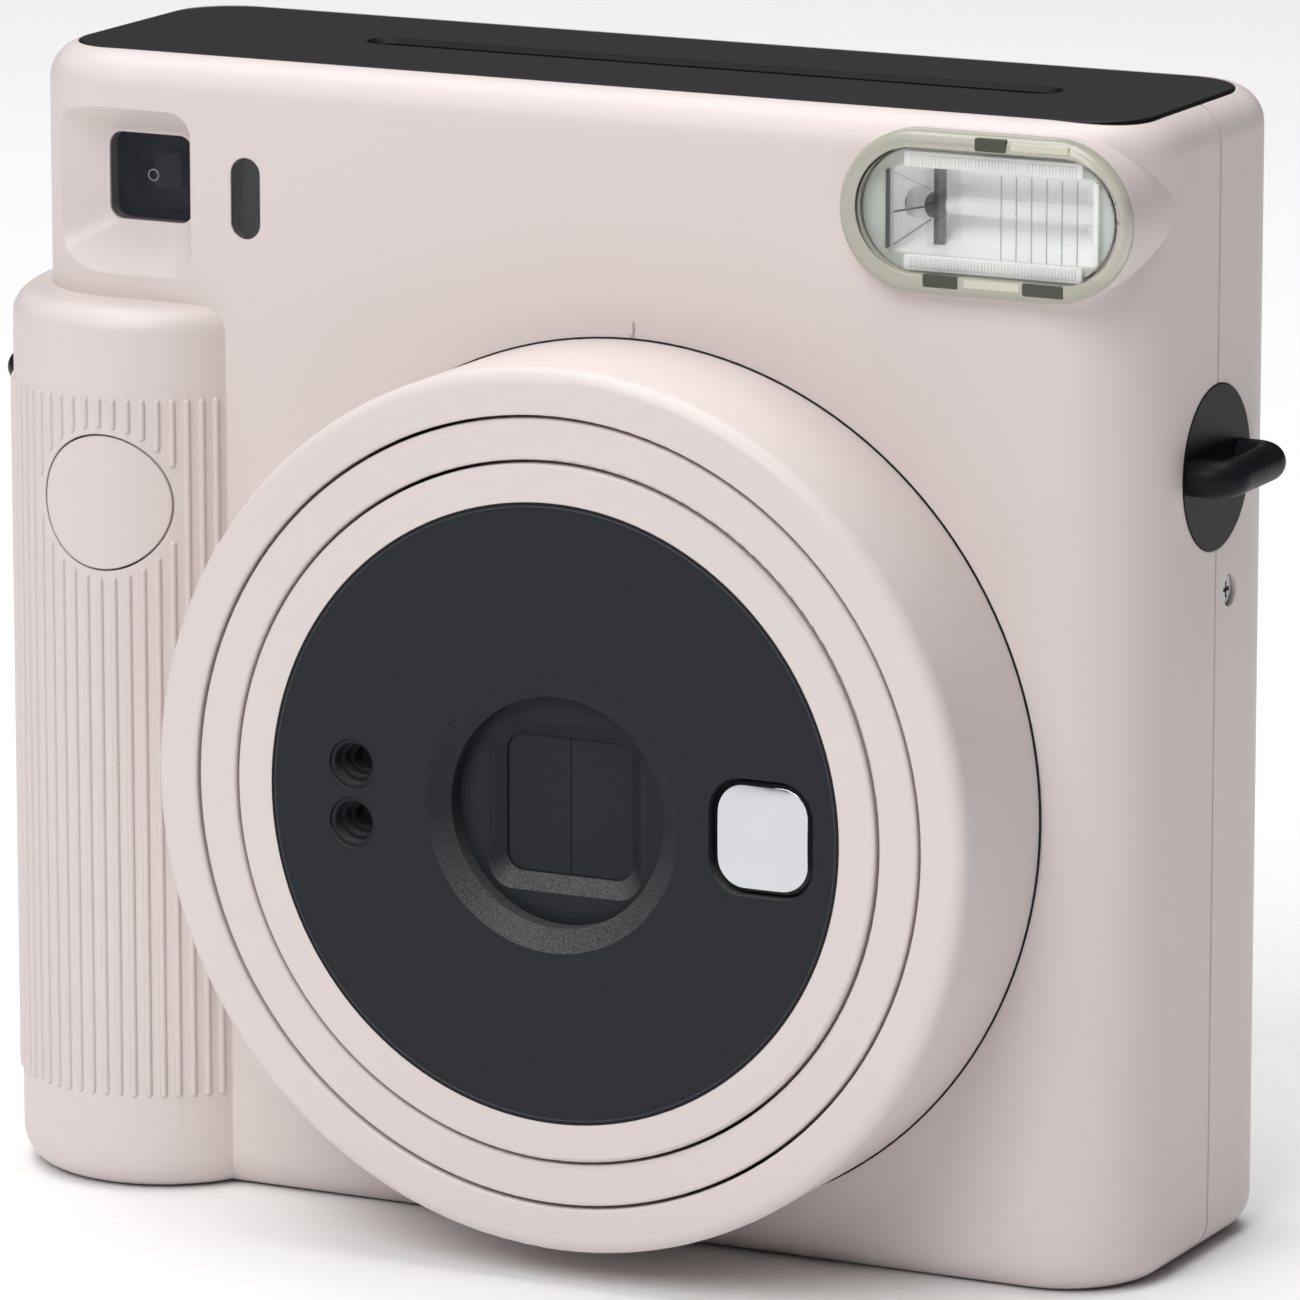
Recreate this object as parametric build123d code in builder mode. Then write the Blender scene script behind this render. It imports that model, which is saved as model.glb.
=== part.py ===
"""Instant camera: every separate piece, in millimetres.

Frame: origin under the middle of the camera on the surface it stands on, +Z up,
the lens looks along -Y, and +X is to the right as seen from in front of the lens.
"""
from build123d import *
from math import atan2, cos, degrees, radians, sin, sqrt
import os

os.makedirs("parts", exist_ok=True)

# ---- driving dimensions -------------------------------------------------------------
HEIGHT = 118.6
SIDE = 65.35             # half of the widest width, 130.7
UPPER_LEFT = -60.85      # left side above the grip, which is narrower than the grip
FRONT = -10.75           # flat front face of the body
REAR = 28.75             # flat rear face
LENS_FRONT = -28.75      # front face of the lens dial, 57.5 ahead of the rear face
SEAM = 10.55             # plane where the front and rear covers meet
WALL = 2.0
LID = 2.0                # thickness of the black top panel
TOP_INNER = HEIGHT - LID - WALL
CORNER_FRONT = 11.5      # plan radii of the vertical corners
CORNER_REAR = 9.0
CORNER_GRIP = 6.0
EDGE = 4.0               # rounding along the top and the bottom
SLIDE_GAP = 0.35         # between parts that slide or turn in one another
FIT = 0.05               # radial clearance of pins and shafts

# grip: a column of radius GRIP_R bulging out of the front left corner
GRIP_X = -48.25
GRIP_Y = -2.1
GRIP_R = 15.2
GRIP_TOP = 93.3
GRIP_EDGE = 2.6
GRIP_SUNK = 3.0          # how far the column's outline goes on inside the flat front
GRIP_TURN = 26.5         # degrees from the side where the column blends into the side wall
RIB_PITCH = 1.55
RIB_R = 0.34
RIB_LOW = 10.7
RIB_HIGH = 83.7

# shutter button
BUTTON_X = -46.87
BUTTON_Z = 73.1
BUTTON_R = 6.95
BUTTON_GAP = 0.2
BUTTON_TRAVEL = 1.0

# lens dial and barrel
AXIS_X = 10.75
AXIS_Z = 48.6
DIAL_R = 45.1
DIAL_ROUND = 1.6         # rounding of the dial's front edge
OUTER_STAGE_R = 40.0
INNER_STAGE_R = 35.5
DISC_R = 31.6
LENS_HOLE_R = 11.8
LENS_BEVEL_R = 14.1
DOOR_SIDE = 14.0         # side of the square lens window

# film chamber, centred on the film slot
FILM_X = 9.5
CHAMBER_W = 80.0
CHAMBER_LOW = 8.0
CHAMBER_HIGH = 101.5
FILM_PLANE = 9.0
CHASSIS_REAR = 25.9
CHASSIS_WALL = 1.5
PICTURE = 62.0
SLOT_Y = 9.35
SLOT_L = 77.0
ROLLER_Z = 106.0
ROLLER_R = 2.2
SHAFT_R = 1.0

# rear door, hinged on the side away from the grip
DOOR_LEFT = -32.5
DOOR_LOW = 6.0
DOOR_HIGH = 105.0
DOOR_T = 2.5
HINGE_X = 54.5
HINGE_Y = REAR - 1.85
HINGE_EDGE = 1.85
HINGE_PIN_R = 0.8

# batteries behind the grip
CELL_X = -49.0
CELL_R = 7.8
CELL_LOW = 15.0
CELL_L = 27.0
CELL_YS = (1.6, 17.6)
HATCH_W = 17.4
HATCH_LOW = 12.0
HATCH_HIGH = 46.0

# viewfinder, light sensor, flash
FINDER_X = -46.65
FINDER_Z = 105.3
FINDER_W = 9.75
FINDER_H = 9.1
FINDER_DEPTH = 4.3
SENSOR_X = -33.25
SENSOR_Z = 104.7
FLASH_X = 49.85
FLASH_Z = 109.3
FLASH_W = 30.9
FLASH_H = 16.3
FLASH_PROUD = 2.5

# strap lugs and screws
LUG_Y = 10.35
LUG_Z = 81.8
LUG_R = 8.5
LUG_LOOP = 6.1           # half the distance between the two legs of a loop
LUG_REACH = 3.6          # how far the loop's middle line stands off the side
LUG_BEND = 2.0
LUG_BAR = 1.9
LUG_SEAT = 1.2
SCREW_R = 1.5


def save(piece, name):
    """Label one finished piece and write it."""
    piece.label = name
    export_step(piece, f"parts/{name}.step")


def front_plane(y, x=0, z=0):
    """A plane facing the front at depth y, with its own origin over (x, z)."""
    return Plane(origin=(x, y, z), x_dir=(1, 0, 0), z_dir=(0, -1, 0))


def side_plane(x, y=0, z=0):
    """A plane facing right at x, with its own origin over (y, z)."""
    return Plane(origin=(x, y, z), x_dir=(0, 1, 0), z_dir=(1, 0, 0))


def box_between(low, high):
    """A plain block between two opposite corners."""
    size = [b - a for a, b in zip(low, high)]
    middle = tuple((a + b) / 2 for a, b in zip(low, high))
    with BuildPart() as block:
        with Locations(middle):
            Box(*size)
    return block.part


def tube(plane, outer, inner, length):
    """A round tube that starts on the plane and runs along its normal."""
    with BuildPart() as pipe:
        with BuildSketch(plane):
            Circle(outer)
            Circle(inner, mode=Mode.SUBTRACT)
        extrude(amount=length)
    return pipe.part


def rod(plane, radius, length):
    """A round rod that starts on the plane and runs along its normal."""
    with BuildPart() as bar:
        with BuildSketch(plane):
            Circle(radius)
        extrude(amount=length)
    return bar.part


def joined(*pieces):
    """Pieces that touch or overlap, as one solid."""
    with BuildPart() as whole:
        for piece in pieces:
            add(piece)
    return whole.part


def common(first, second):
    """The space that two pieces share."""
    with BuildPart() as shared:
        add(first)
        add(second, mode=Mode.INTERSECT)
    return shared.part


def less(base, *cutters):
    """A piece with the cutters taken out of it."""
    with BuildPart() as rest:
        add(base)
        for cutter in cutters:
            add(cutter, mode=Mode.SUBTRACT)
    return rest.part


# ---- the outside of the body --------------------------------------------------------
def upper_block(inset, top, soft):
    """The full height block, without the grip; soft rounds its top and bottom edges."""
    left, right = UPPER_LEFT + inset, SIDE - inset
    front, rear = FRONT + inset, REAR - inset
    edge = EDGE - inset
    with BuildPart() as block:
        with BuildSketch(Plane.XY.offset(inset)):
            with Locations(((left + right) / 2, (front + rear) / 2)):
                Rectangle(right - left, rear - front)
            corners = vertices().group_by(Axis.Y)
            fillet(corners[0], CORNER_FRONT - inset)
            fillet(vertices().group_by(Axis.Y)[-1], CORNER_REAR - inset)
        extrude(amount=HEIGHT - inset - top)
        if soft:
            fillet(faces().sort_by(Axis.Z)[-1].edges(), edge)
            fillet(faces().sort_by(Axis.Z)[0].edges(), edge)
    return block.part


def grip_block(inset, soft):
    """The lower left column, from the front crease round the side to the rear face."""
    radius = GRIP_R - inset
    front, rear = FRONT + inset, REAR - inset
    left = -SIDE + inset
    sunk = GRIP_Y - front - GRIP_SUNK
    start = -degrees(atan2(sunk, sqrt(radius**2 - sunk**2)))
    turn = -180 + GRIP_TURN
    leave_x = GRIP_X + radius * cos(radians(turn))
    leave_y = GRIP_Y + radius * sin(radians(turn))
    blend = (leave_x - left) / (1 - cos(radians(GRIP_TURN)))
    blend_x = left + blend
    blend_y = leave_y + blend * sin(radians(GRIP_TURN))
    corner = CORNER_GRIP - inset
    end = (GRIP_X + radius * cos(radians(start)), GRIP_Y + radius * sin(radians(start)))
    core = (GRIP_X + (radius - 6) * cos(radians(start)), GRIP_Y + (radius - 6) * sin(radians(start)))
    with BuildPart() as block:
        with BuildSketch(Plane.XY.offset(inset)):
            with BuildLine():
                CenterArc((GRIP_X, GRIP_Y), radius, start, turn - start)
                CenterArc((blend_x, blend_y), blend, turn, -GRIP_TURN)
                Line((left, blend_y), (left, rear - corner))
                CenterArc((left + corner, rear - corner), corner, 180, -90)
                Line((left + corner, rear), (core[0], rear))
                Line((core[0], rear), core)
                Line(core, end)
            make_face()
        extrude(amount=GRIP_TOP - 2 * inset)
        if soft:
            fillet(faces().sort_by(Axis.Z)[-1].edges().sort_by(Axis.X)[:-2], GRIP_EDGE - inset)
            fillet(faces().sort_by(Axis.Z)[0].edges().sort_by(Axis.X)[:-2], EDGE - inset)
    return block.part


def body_block(inset=0, top=0, soft=True):
    """The whole outside shape, or the same shape moved inwards by inset."""
    return joined(upper_block(inset, top, soft), grip_block(inset, soft))


OUTSIDE = body_block()
INSIDE = body_block(WALL, HEIGHT - TOP_INNER, soft=False)


def stadium(plane, width, height, depth):
    """A block with round ends, from the plane along its normal."""
    with BuildPart() as block:
        with BuildSketch(plane):
            if width > height:
                SlotOverall(width, height)
            else:
                SlotOverall(height, width, rotation=90)
        extrude(amount=depth)
    return block.part


def slab(plane, width, height, radius, depth):
    """A rounded rectangular plate, from the plane along its normal."""
    with BuildPart() as plate:
        with BuildSketch(plane):
            RectangleRounded(width, height, radius)
        extrude(amount=depth)
    return plate.part


def seam_groove():
    """The hairline where the two covers meet."""
    skin = less(OUTSIDE, body_block(0.25, 0.25))
    band = box_between((-80, SEAM - 0.12, -5), (80, SEAM + 0.12, HEIGHT + 5))
    return common(skin, band)


# ---- top panel and film exit --------------------------------------------------------
PANEL_LEFT = -57.65
PANEL_RIGHT = 63.15
PANEL_FRONT = -7.25
PANEL_REAR = 25.05
PANEL_CORNER = 7.2
SLOT_W = 3.2
PANEL_W = PANEL_RIGHT - PANEL_LEFT
PANEL_D = PANEL_REAR - PANEL_FRONT
PANEL_X = (PANEL_LEFT + PANEL_RIGHT) / 2
PANEL_Y = (PANEL_FRONT + PANEL_REAR) / 2


def panel_outline(grow, low, high):
    """The outline of the top panel as a block between two heights."""
    plane = Plane.XY.offset(low).move(Location((PANEL_X, PANEL_Y, 0)))
    return slab(plane, PANEL_W + 2 * grow, PANEL_D + 2 * grow, PANEL_CORNER + grow, high - low)


def film_slot(low, high, width=SLOT_W):
    """The long slot where the picture comes out, between two heights."""
    plane = Plane.XY.offset(low).move(Location((FILM_X, SLOT_Y, 0)))
    return stadium(plane, SLOT_L, width, high - low)


def top_panel():
    """The black top: a rounded plate with the film slot and the holes for the flap's pin."""
    plate = panel_outline(-0.08, HEIGHT - LID, HEIGHT)
    slot = film_slot(HEIGHT - LID - 1, HEIGHT + 1)
    pin_hole = rod(side_plane(FILM_X - FLAP_PIN_HALF, FLAP_PIN_Y, FLAP_PIN_Z), 0.4 + FIT, 2 * FLAP_PIN_HALF)
    with BuildPart() as panel:
        add(plate)
        fillet(faces().sort_by(Axis.Z)[-1].edges(), 0.35)
        add(slot, mode=Mode.SUBTRACT)
        long_edges = edges().group_by(Axis.Z)[-1].filter_by(GeomType.LINE)
        chamfer(long_edges.filter_by(lambda e: SLOT_L - 8 < e.length < SLOT_L), 0.5)
        add(pin_hole, mode=Mode.SUBTRACT)
    return panel.part


FLAP_PIN_Y = SLOT_Y + SLOT_W / 2 - 0.75
FLAP_PIN_Z = HEIGHT - 1.25
FLAP_HALF = 36.6
FLAP_PIN_HALF = SLOT_L / 2 + 1.2


def exit_flap():
    """The light shield in the film slot, on its own thin pin along the rear edge."""
    plate = box_between(
        (FILM_X - FLAP_HALF, SLOT_Y - SLOT_W / 2 + 0.3, FLAP_PIN_Z - 0.4),
        (FILM_X + FLAP_HALF, FLAP_PIN_Y, FLAP_PIN_Z + 0.4),
    )
    half = FLAP_PIN_HALF - 0.3
    spine = rod(side_plane(FILM_X - half, FLAP_PIN_Y, FLAP_PIN_Z), 0.4, 2 * half)
    return joined(plate, spine)


# ---- viewfinder ---------------------------------------------------------------------
def finder_recess():
    """The scoop in front of the viewfinder, wide at the face and small at the window."""
    mouth_w, mouth_h = 20.8, 17.2
    mouth = front_plane(FRONT - 0.01, -50.05, 104.35)
    floor = front_plane(FRONT + FINDER_DEPTH, FINDER_X, FINDER_Z)
    with BuildPart() as scoop:
        with BuildSketch(mouth):
            RectangleRounded(mouth_w, mouth_h, 2.6)
        with BuildSketch(floor):
            RectangleRounded(FINDER_W + 0.6, FINDER_H + 0.6, 1.8)
        loft()
        with BuildSketch(mouth):
            RectangleRounded(mouth_w, mouth_h, 2.6)
        extrude(amount=3)
    return scoop.part


def finder_hole():
    plane = front_plane(FRONT + FINDER_DEPTH + 4, FINDER_X, FINDER_Z)
    return slab(plane, FINDER_W, FINDER_H, 1.5, 6)


def viewfinder_window():
    plane = front_plane(FRONT + FINDER_DEPTH + 1.5, FINDER_X, FINDER_Z)
    return slab(plane, FINDER_W, FINDER_H, 1.5, 1.2)


FINDER_TUBE_FRONT = FRONT + FINDER_DEPTH + 1.8
FINDER_TUBE_REAR = REAR - WALL


def viewfinder_tube():
    length = FINDER_TUBE_REAR - FINDER_TUBE_FRONT
    plane = front_plane(FINDER_TUBE_REAR, FINDER_X, FINDER_Z)
    outer = slab(plane, 13.0, 12.6, 1.0, length)
    return less(outer, slab(plane, 11.0, 10.6, 0.6, length))


def viewfinder_objective():
    """A weak diverging lens: a rounded plate with a hollow in its rear face."""
    plate = slab(front_plane(0.5, FINDER_X, FINDER_Z), 11.0, 10.6, 0.6, 2.4)
    with BuildPart() as ball:
        with Locations((FINDER_X, 0.5 + 14.6, FINDER_Z)):
            Sphere(15.6)
    return less(plate, ball.part)


EYE_Z = 104.6


def eyepiece_frame():
    """The rounded frame set flush in the rear wall."""
    opening = slab(front_plane(REAR + 2, FINDER_X, FINDER_Z), 9.0, 8.0, 1.2, 6)
    with BuildPart() as frame:
        add(slab(front_plane(REAR, FINDER_X, EYE_Z), 16.9, 13.9, 2.95, WALL))
        fillet(faces().sort_by(Axis.Y)[-1].edges(), 0.4)
        add(opening, mode=Mode.SUBTRACT)
    return frame.part


def eyepiece_lens():
    return slab(front_plane(REAR - 0.3, FINDER_X, FINDER_Z), 9.0, 8.0, 1.2, WALL - 0.3)


# ---- flash --------------------------------------------------------------------------
def flash_collar():
    """The flat-fronted collar that carries the flash past the rounded corner."""
    return stadium(front_plane(FRONT + 12, FLASH_X, FLASH_Z), FLASH_W + 0.1, FLASH_H + 0.1, 12)


FLASH_RIM = 1.8          # wall of the clear cap and of the collar under it


def flash_hole():
    plane = front_plane(FRONT + 14, FLASH_X, FLASH_Z)
    return stadium(plane, FLASH_W - 2 * FLASH_RIM, FLASH_H - 2 * FLASH_RIM, 15)


def flash_window():
    """A clear cap with a thick rim that sits on the collar."""
    cap = stadium(front_plane(FRONT, FLASH_X, FLASH_Z), FLASH_W, FLASH_H, FLASH_PROUD)
    hollow = stadium(front_plane(FRONT, FLASH_X, FLASH_Z),
                     FLASH_W - 2 * FLASH_RIM, FLASH_H - 2 * FLASH_RIM, FLASH_PROUD - 1.1)
    with BuildPart() as window:
        add(cap)
        fillet(faces().sort_by(Axis.Y)[0].edges(), 1.2)
        add(hollow, mode=Mode.SUBTRACT)
    return window.part


REFLECTOR_W = 23.0
REFLECTOR_H = 9.4
REFLECTOR_FRONT = FRONT
REFLECTOR_D = 7.5
TUBE_Y = REFLECTOR_FRONT + 4.0


def flash_diffuser():
    """A clear plate with round ends and a raised window in front of the reflector."""
    flange = stadium(front_plane(FRONT, FLASH_X, FLASH_Z), FLASH_W - 2 * FLASH_RIM - 0.2,
                     FLASH_H - 2 * FLASH_RIM - 0.2, 0.4)
    with BuildPart() as plate:
        add(flange)
        with BuildSketch(front_plane(FRONT - 0.4, FLASH_X, FLASH_Z)):
            Rectangle(REFLECTOR_W - 0.6, REFLECTOR_H - 0.6)
            Rectangle(REFLECTOR_W - 3.8, REFLECTOR_H + 2.0)
        extrude(amount=0.7)
    return plate.part


def flash_reflector():
    """A bright trough: curved along the tube, with sloping ends."""
    half_w, half_h = REFLECTOR_W / 2, REFLECTOR_H / 2
    outer = box_between((FLASH_X - half_w, REFLECTOR_FRONT, FLASH_Z - half_h),
                        (FLASH_X + half_w, REFLECTOR_FRONT + REFLECTOR_D, FLASH_Z + half_h))
    with BuildPart() as trough:
        for depth, end_w, end_h in ((0.0, 0.8, 0.7), (3.4, 3.2, 1.8), (6.6, 8.0, 6.0)):
            with BuildSketch(front_plane(REFLECTOR_FRONT + depth, FLASH_X, FLASH_Z)):
                Rectangle(REFLECTOR_W - end_w, REFLECTOR_H - end_h)
        loft(ruled=True)
    bore = rod(side_plane(FLASH_X - 20, TUBE_Y, FLASH_Z), 1.55, 40)
    return less(outer, trough.part, bore)


def flash_tube():
    return rod(side_plane(FLASH_X - 12.6, TUBE_Y, FLASH_Z), 1.5, 25.2)


def flash_holders():
    """Two dark rubber ends that hold the tube against the reflector."""
    caps = []
    for x in (FLASH_X - REFLECTOR_W / 2 - 1.5, FLASH_X + REFLECTOR_W / 2):
        block = box_between((x, TUBE_Y - 2.2, FLASH_Z - 2.4), (x + 1.5, TUBE_Y + 2.2, FLASH_Z + 2.4))
        bore = rod(side_plane(x - 1, TUBE_Y, FLASH_Z), 1.5, 4)
        caps.append(less(block, bore))
    return Compound(children=caps)


def light_sensor_window():
    return stadium(front_plane(FRONT + WALL, SENSOR_X, SENSOR_Z), 3.4, 8.4, WALL - 0.2)


# ---- strap lugs and screws ----------------------------------------------------------
def lug_seat(side):
    """The round seat in both covers for one lug."""
    plane = side_plane(side * (SIDE - LUG_SEAT), LUG_Y, LUG_Z)
    if side < 0:
        plane = Plane(origin=plane.origin, x_dir=(0, -1, 0), z_dir=(-1, 0, 0))
    return rod(plane, LUG_R, 10)


def strap_lug(side):
    """A flush round plate with a horizontal loop for the strap."""
    start = side * (SIDE - LUG_SEAT)
    plate = rod(Plane(origin=(start, LUG_Y, LUG_Z), x_dir=(0, 1, 0), z_dir=(side, 0, 0)),
                LUG_R - 0.08, LUG_SEAT + 0.1)
    foot, bend = side * (SIDE - 0.9), side * (SIDE + LUG_REACH - LUG_BEND)
    crown = side * (SIDE + LUG_REACH)
    near, far = LUG_Y - LUG_LOOP, LUG_Y + LUG_LOOP
    with BuildPart() as loop:
        with BuildLine() as route:
            Line((foot, near, LUG_Z), (bend, near, LUG_Z))
            RadiusArc((bend, near, LUG_Z), (crown, near + LUG_BEND, LUG_Z), -side * LUG_BEND)
            Line((crown, near + LUG_BEND, LUG_Z), (crown, far - LUG_BEND, LUG_Z))
            RadiusArc((crown, far - LUG_BEND, LUG_Z), (bend, far, LUG_Z), -side * LUG_BEND)
            Line((bend, far, LUG_Z), (foot, far, LUG_Z))
        with BuildSketch(Plane(origin=route.line @ 0, z_dir=route.line % 0)):
            Circle(LUG_BAR)
        sweep()
    return joined(plate, loop.part)


SCREWS = (
    ((SIDE - 0.4, 14.15, 68.6), (1, 0, 0)),
    ((-SIDE + 0.4, 14.15, 56.0), (-1, 0, 0)),
    ((40.0, 18.5, 0.4), (0, 0, -1)),
    ((-20.0, 18.5, 0.4), (0, 0, -1)),
)
SCREW_SHANK = 0.85
SCREW_L = 4.6


def screw(head, out):
    """A small pan-head screw with a cross recess; out is the way its head faces."""
    face = Plane(origin=head, z_dir=out)
    with BuildPart() as fastener:
        with BuildSketch(face):
            Circle(SCREW_R)
        extrude(amount=-1.0)
        with BuildSketch(face.offset(-1.0)):
            Circle(SCREW_SHANK)
        extrude(amount=-SCREW_L)
        with BuildSketch(face):
            Rectangle(1.7, 0.45)
            Rectangle(0.45, 1.7)
        extrude(amount=-0.6, mode=Mode.SUBTRACT)
    return fastener.part


def case_screws():
    return Compound(children=[screw(head, out) for head, out in SCREWS])


def screw_bores(grow=0.1):
    """Counterbored holes for the screws."""
    cutters = []
    for head, out in SCREWS:
        face = Plane(origin=head, z_dir=out)
        cutters.append(rod(face.offset(-1.0 - grow), SCREW_R + 0.15, 5))
        cutters.append(rod(face.offset(-1.0 - SCREW_L - 0.5), SCREW_SHANK, SCREW_L + 1))
    return cutters


def screw_bosses():
    """Blocks on the inside of the rear cover that the screws bite into."""
    blocks = []
    for (x, y, z), out in SCREWS:
        if out[0]:
            low, high = sorted((x - out[0] * 0.8, x - out[0] * 5.5))
            blocks.append(box_between((low, SEAM + 0.05, z - 2.6), (high, y + 2.8, z + 2.6)))
        else:
            blocks.append(box_between((x - 2.6, y - 2.6, 1.0), (x + 2.6, y + 2.6, 6.0)))
    return blocks


# ---- covers -------------------------------------------------------------------------
def shell():
    """The hollow body: solid behind the finder scoop and round the shutter button."""
    finder_backing = box_between((-57.5, FRONT - 1, 93.5), (-37.8, FINDER_TUBE_FRONT, 114.8))
    button_guide = rod(front_plane(-9.6, BUTTON_X, BUTTON_Z), BUTTON_R + 1.9, 12)
    return less(joined(OUTSIDE, flash_collar()), less(INSIDE, finder_backing, button_guide))


SHELL = shell()


def cover_half(front_side):
    """One half of the hollow body, cut at the seam."""
    with BuildPart() as half:
        add(SHELL)
        split(bisect_by=front_plane(SEAM), keep=Keep.TOP if front_side else Keep.BOTTOM)
    return half.part


def shared_cuts():
    """Cuts that run through both covers."""
    return [
        panel_outline(0, HEIGHT - LID, HEIGHT + 5),
        film_slot(TOP_INNER - 1, HEIGHT, SLOT_W + 1.0),
        lug_seat(1),
        lug_seat(-1),
        seam_groove(),
    ]


RIB_TURN = degrees(RIB_PITCH / GRIP_R)
RIB_START = -39.0        # degrees, the rib nearest to the crease
RIB_COUNT = 27
GRIP_LEAVE = -180 + GRIP_TURN
BLEND_R = (GRIP_X - GRIP_R * cos(radians(GRIP_TURN)) + SIDE) / (1 - cos(radians(GRIP_TURN)))
BLEND_X = BLEND_R - SIDE
BLEND_Y = GRIP_Y - GRIP_R * sin(radians(GRIP_TURN)) + BLEND_R * sin(radians(GRIP_TURN))


def rib_places():
    """Plan positions of the ribs: round the grip column, then along the side blend."""
    places = []
    for index in range(RIB_COUNT):
        angle = RIB_START - index * RIB_TURN
        if angle > GRIP_LEAVE:
            centre_x, centre_y, radius = GRIP_X, GRIP_Y, GRIP_R
        else:
            centre_x, centre_y, radius = BLEND_X, BLEND_Y, BLEND_R
            angle = GRIP_LEAVE + (angle - GRIP_LEAVE) * GRIP_R / BLEND_R
        places.append((centre_x + radius * cos(radians(angle)), centre_y + radius * sin(radians(angle))))
    return places


def rib_spans(x):
    """Heights covered by a rib at x: a whole rib, or two with a gap round the button."""
    clear = BUTTON_R + 1.2
    offset = abs(x - BUTTON_X)
    if offset >= clear - 0.1:
        return [(RIB_LOW, RIB_HIGH)]
    half = sqrt(clear**2 - offset**2)
    spans = [(RIB_LOW, BUTTON_Z - half)]
    if BUTTON_Z + half < RIB_HIGH - 0.5:
        spans.append((BUTTON_Z + half, RIB_HIGH))
    return spans


def grip_ribs():
    """Fine raised ribs with rounded ends, following the column."""
    ribs = []
    for x, y in rib_places():
        for low, high in rib_spans(x):
            with BuildPart() as rib:
                with Locations((x, y, (low + high) / 2)):
                    Cylinder(RIB_R, high - low)
                with Locations((x, y, low), (x, y, high)):
                    Sphere(RIB_R)
            ribs.append(rib.part)
    return ribs


DIAL_SKIRT_R = 42.3
DIAL_SKIRT_REAR = FRONT + 3.95


def index_mark():
    """A small raised bar above the dial."""
    with BuildPart() as bar:
        with BuildSketch(front_plane(FRONT + 0.5, AXIS_X, AXIS_Z + DIAL_R + 1.2)):
            SlotOverall(1.5, 0.5, rotation=90)
        extrude(amount=0.8)
    return bar.part


def front_cover():
    """The front half with the grip, the finder scoop, the flash collar and the lens opening."""
    dial_hole = rod(front_plane(FRONT + 5, AXIS_X, AXIS_Z), DIAL_SKIRT_R + SLIDE_GAP, 10)
    button_hole = rod(front_plane(-5, BUTTON_X, BUTTON_Z), BUTTON_R + BUTTON_GAP, 20)
    cut = less(cover_half(True), *shared_cuts(), finder_recess(), finder_hole(), flash_hole(),
               light_sensor_cut(), dial_hole, button_hole)
    return joined(cut, index_mark(), *grip_ribs())


def light_sensor_cut():
    return stadium(front_plane(FRONT + 3, SENSOR_X, SENSOR_Z), 3.4, 8.4, 5)


def door_opening():
    """The opening in the rear cover for the film door, round at the hinge side."""
    gap = 0.3
    right = HINGE_X + HINGE_EDGE + gap
    return box_between((DOOR_LEFT - gap, REAR - 4, DOOR_LOW - gap), (right, REAR + 2, DOOR_HIGH + gap))


def hatch_opening():
    gap = 0.3
    left = CELL_X - HATCH_W / 2 - gap
    right = CELL_X + HATCH_W / 2 + gap
    low = HATCH_LOW - HINGE_EDGE - gap
    return box_between((left, REAR - 4, low), (right, REAR + 2, HATCH_HIGH + gap))


def hinge_bosses():
    """Blocks above and below the film door, and beside the battery door, for the pins."""
    blocks = []
    for low in (DOOR_LOW - 3.3, DOOR_HIGH + 0.3):
        blocks.append(box_between((HINGE_X - 2, REAR - 5, low), (HINGE_X + 2, REAR - 1, low + 3)))
    for side in (-1, 1):
        edge = CELL_X + side * (HATCH_W / 2 + 0.3)
        low, high = sorted((edge, edge + side * 1.6))
        blocks.append(box_between((low, REAR - 4, HATCH_LOW - 2), (high, REAR - 0.6, HATCH_LOW + 2)))
    return blocks


def door_hinge_pin():
    low = DOOR_LOW - 2.8
    return rod(Plane(origin=(HINGE_X, HINGE_Y, low)), HINGE_PIN_R, DOOR_HIGH + 2.8 - low)


def hatch_hinge_pin():
    half = HATCH_W / 2 + 1.6
    return rod(side_plane(CELL_X - half, HINGE_Y, HATCH_LOW), HINGE_PIN_R, 2 * half)


LATCH_X = -36.4
LATCH_Z = 69.0
LATCH_TRAVEL = 4.0


def latch_slot():
    plane = front_plane(REAR - 5, LATCH_X, LATCH_Z - LATCH_TRAVEL / 2)
    return slab(Plane(origin=plane.origin, x_dir=(1, 0, 0), z_dir=(0, 1, 0)), 3.8, 14.6, 1.2, 8)


def rear_cover():
    """The rear half with the openings for both doors, the latch and the eyepiece."""
    solid = joined(cover_half(False), *screw_bosses(), *hinge_bosses())
    eyepiece_seat = slab(front_plane(REAR + 2, FINDER_X, EYE_Z), 17.0, 14.0, 3.0, 6)
    return less(solid, *shared_cuts(), door_opening(), hatch_opening(), latch_slot(),
                door_hinge_pin(), hatch_hinge_pin(), eyepiece_seat, *screw_bores())


# ---- film door, latch and battery door ----------------------------------------------
def film_door():
    """The rear door, rounded about its hinge, with two small windows."""
    plate = box_between((DOOR_LEFT, REAR - DOOR_T, DOOR_LOW), (HINGE_X, REAR, DOOR_HIGH))
    edge = rod(Plane(origin=(HINGE_X, HINGE_Y, DOOR_LOW)), HINGE_EDGE, DOOR_HIGH - DOOR_LOW)
    bore = rod(Plane(origin=(HINGE_X, HINGE_Y, DOOR_LOW - 1)), HINGE_PIN_R + FIT, 110)
    panes = [slab(front_plane(REAR + 1, x, z), width, height, 2.0, 6) for x, z, width, height in DOOR_WINDOWS]
    return less(joined(plate, edge), bore, *panes)


DOOR_WINDOWS = ((FILM_X, 60.0, 26.0, 12.0), (38.0, 20.0, 9.0, 9.0))


def door_windows():
    """The clear panes in the film door."""
    return Compound(children=[
        slab(front_plane(REAR - 0.3, x, z), width, height, 2.0, 1.8) for x, z, width, height in DOOR_WINDOWS
    ])


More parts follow.
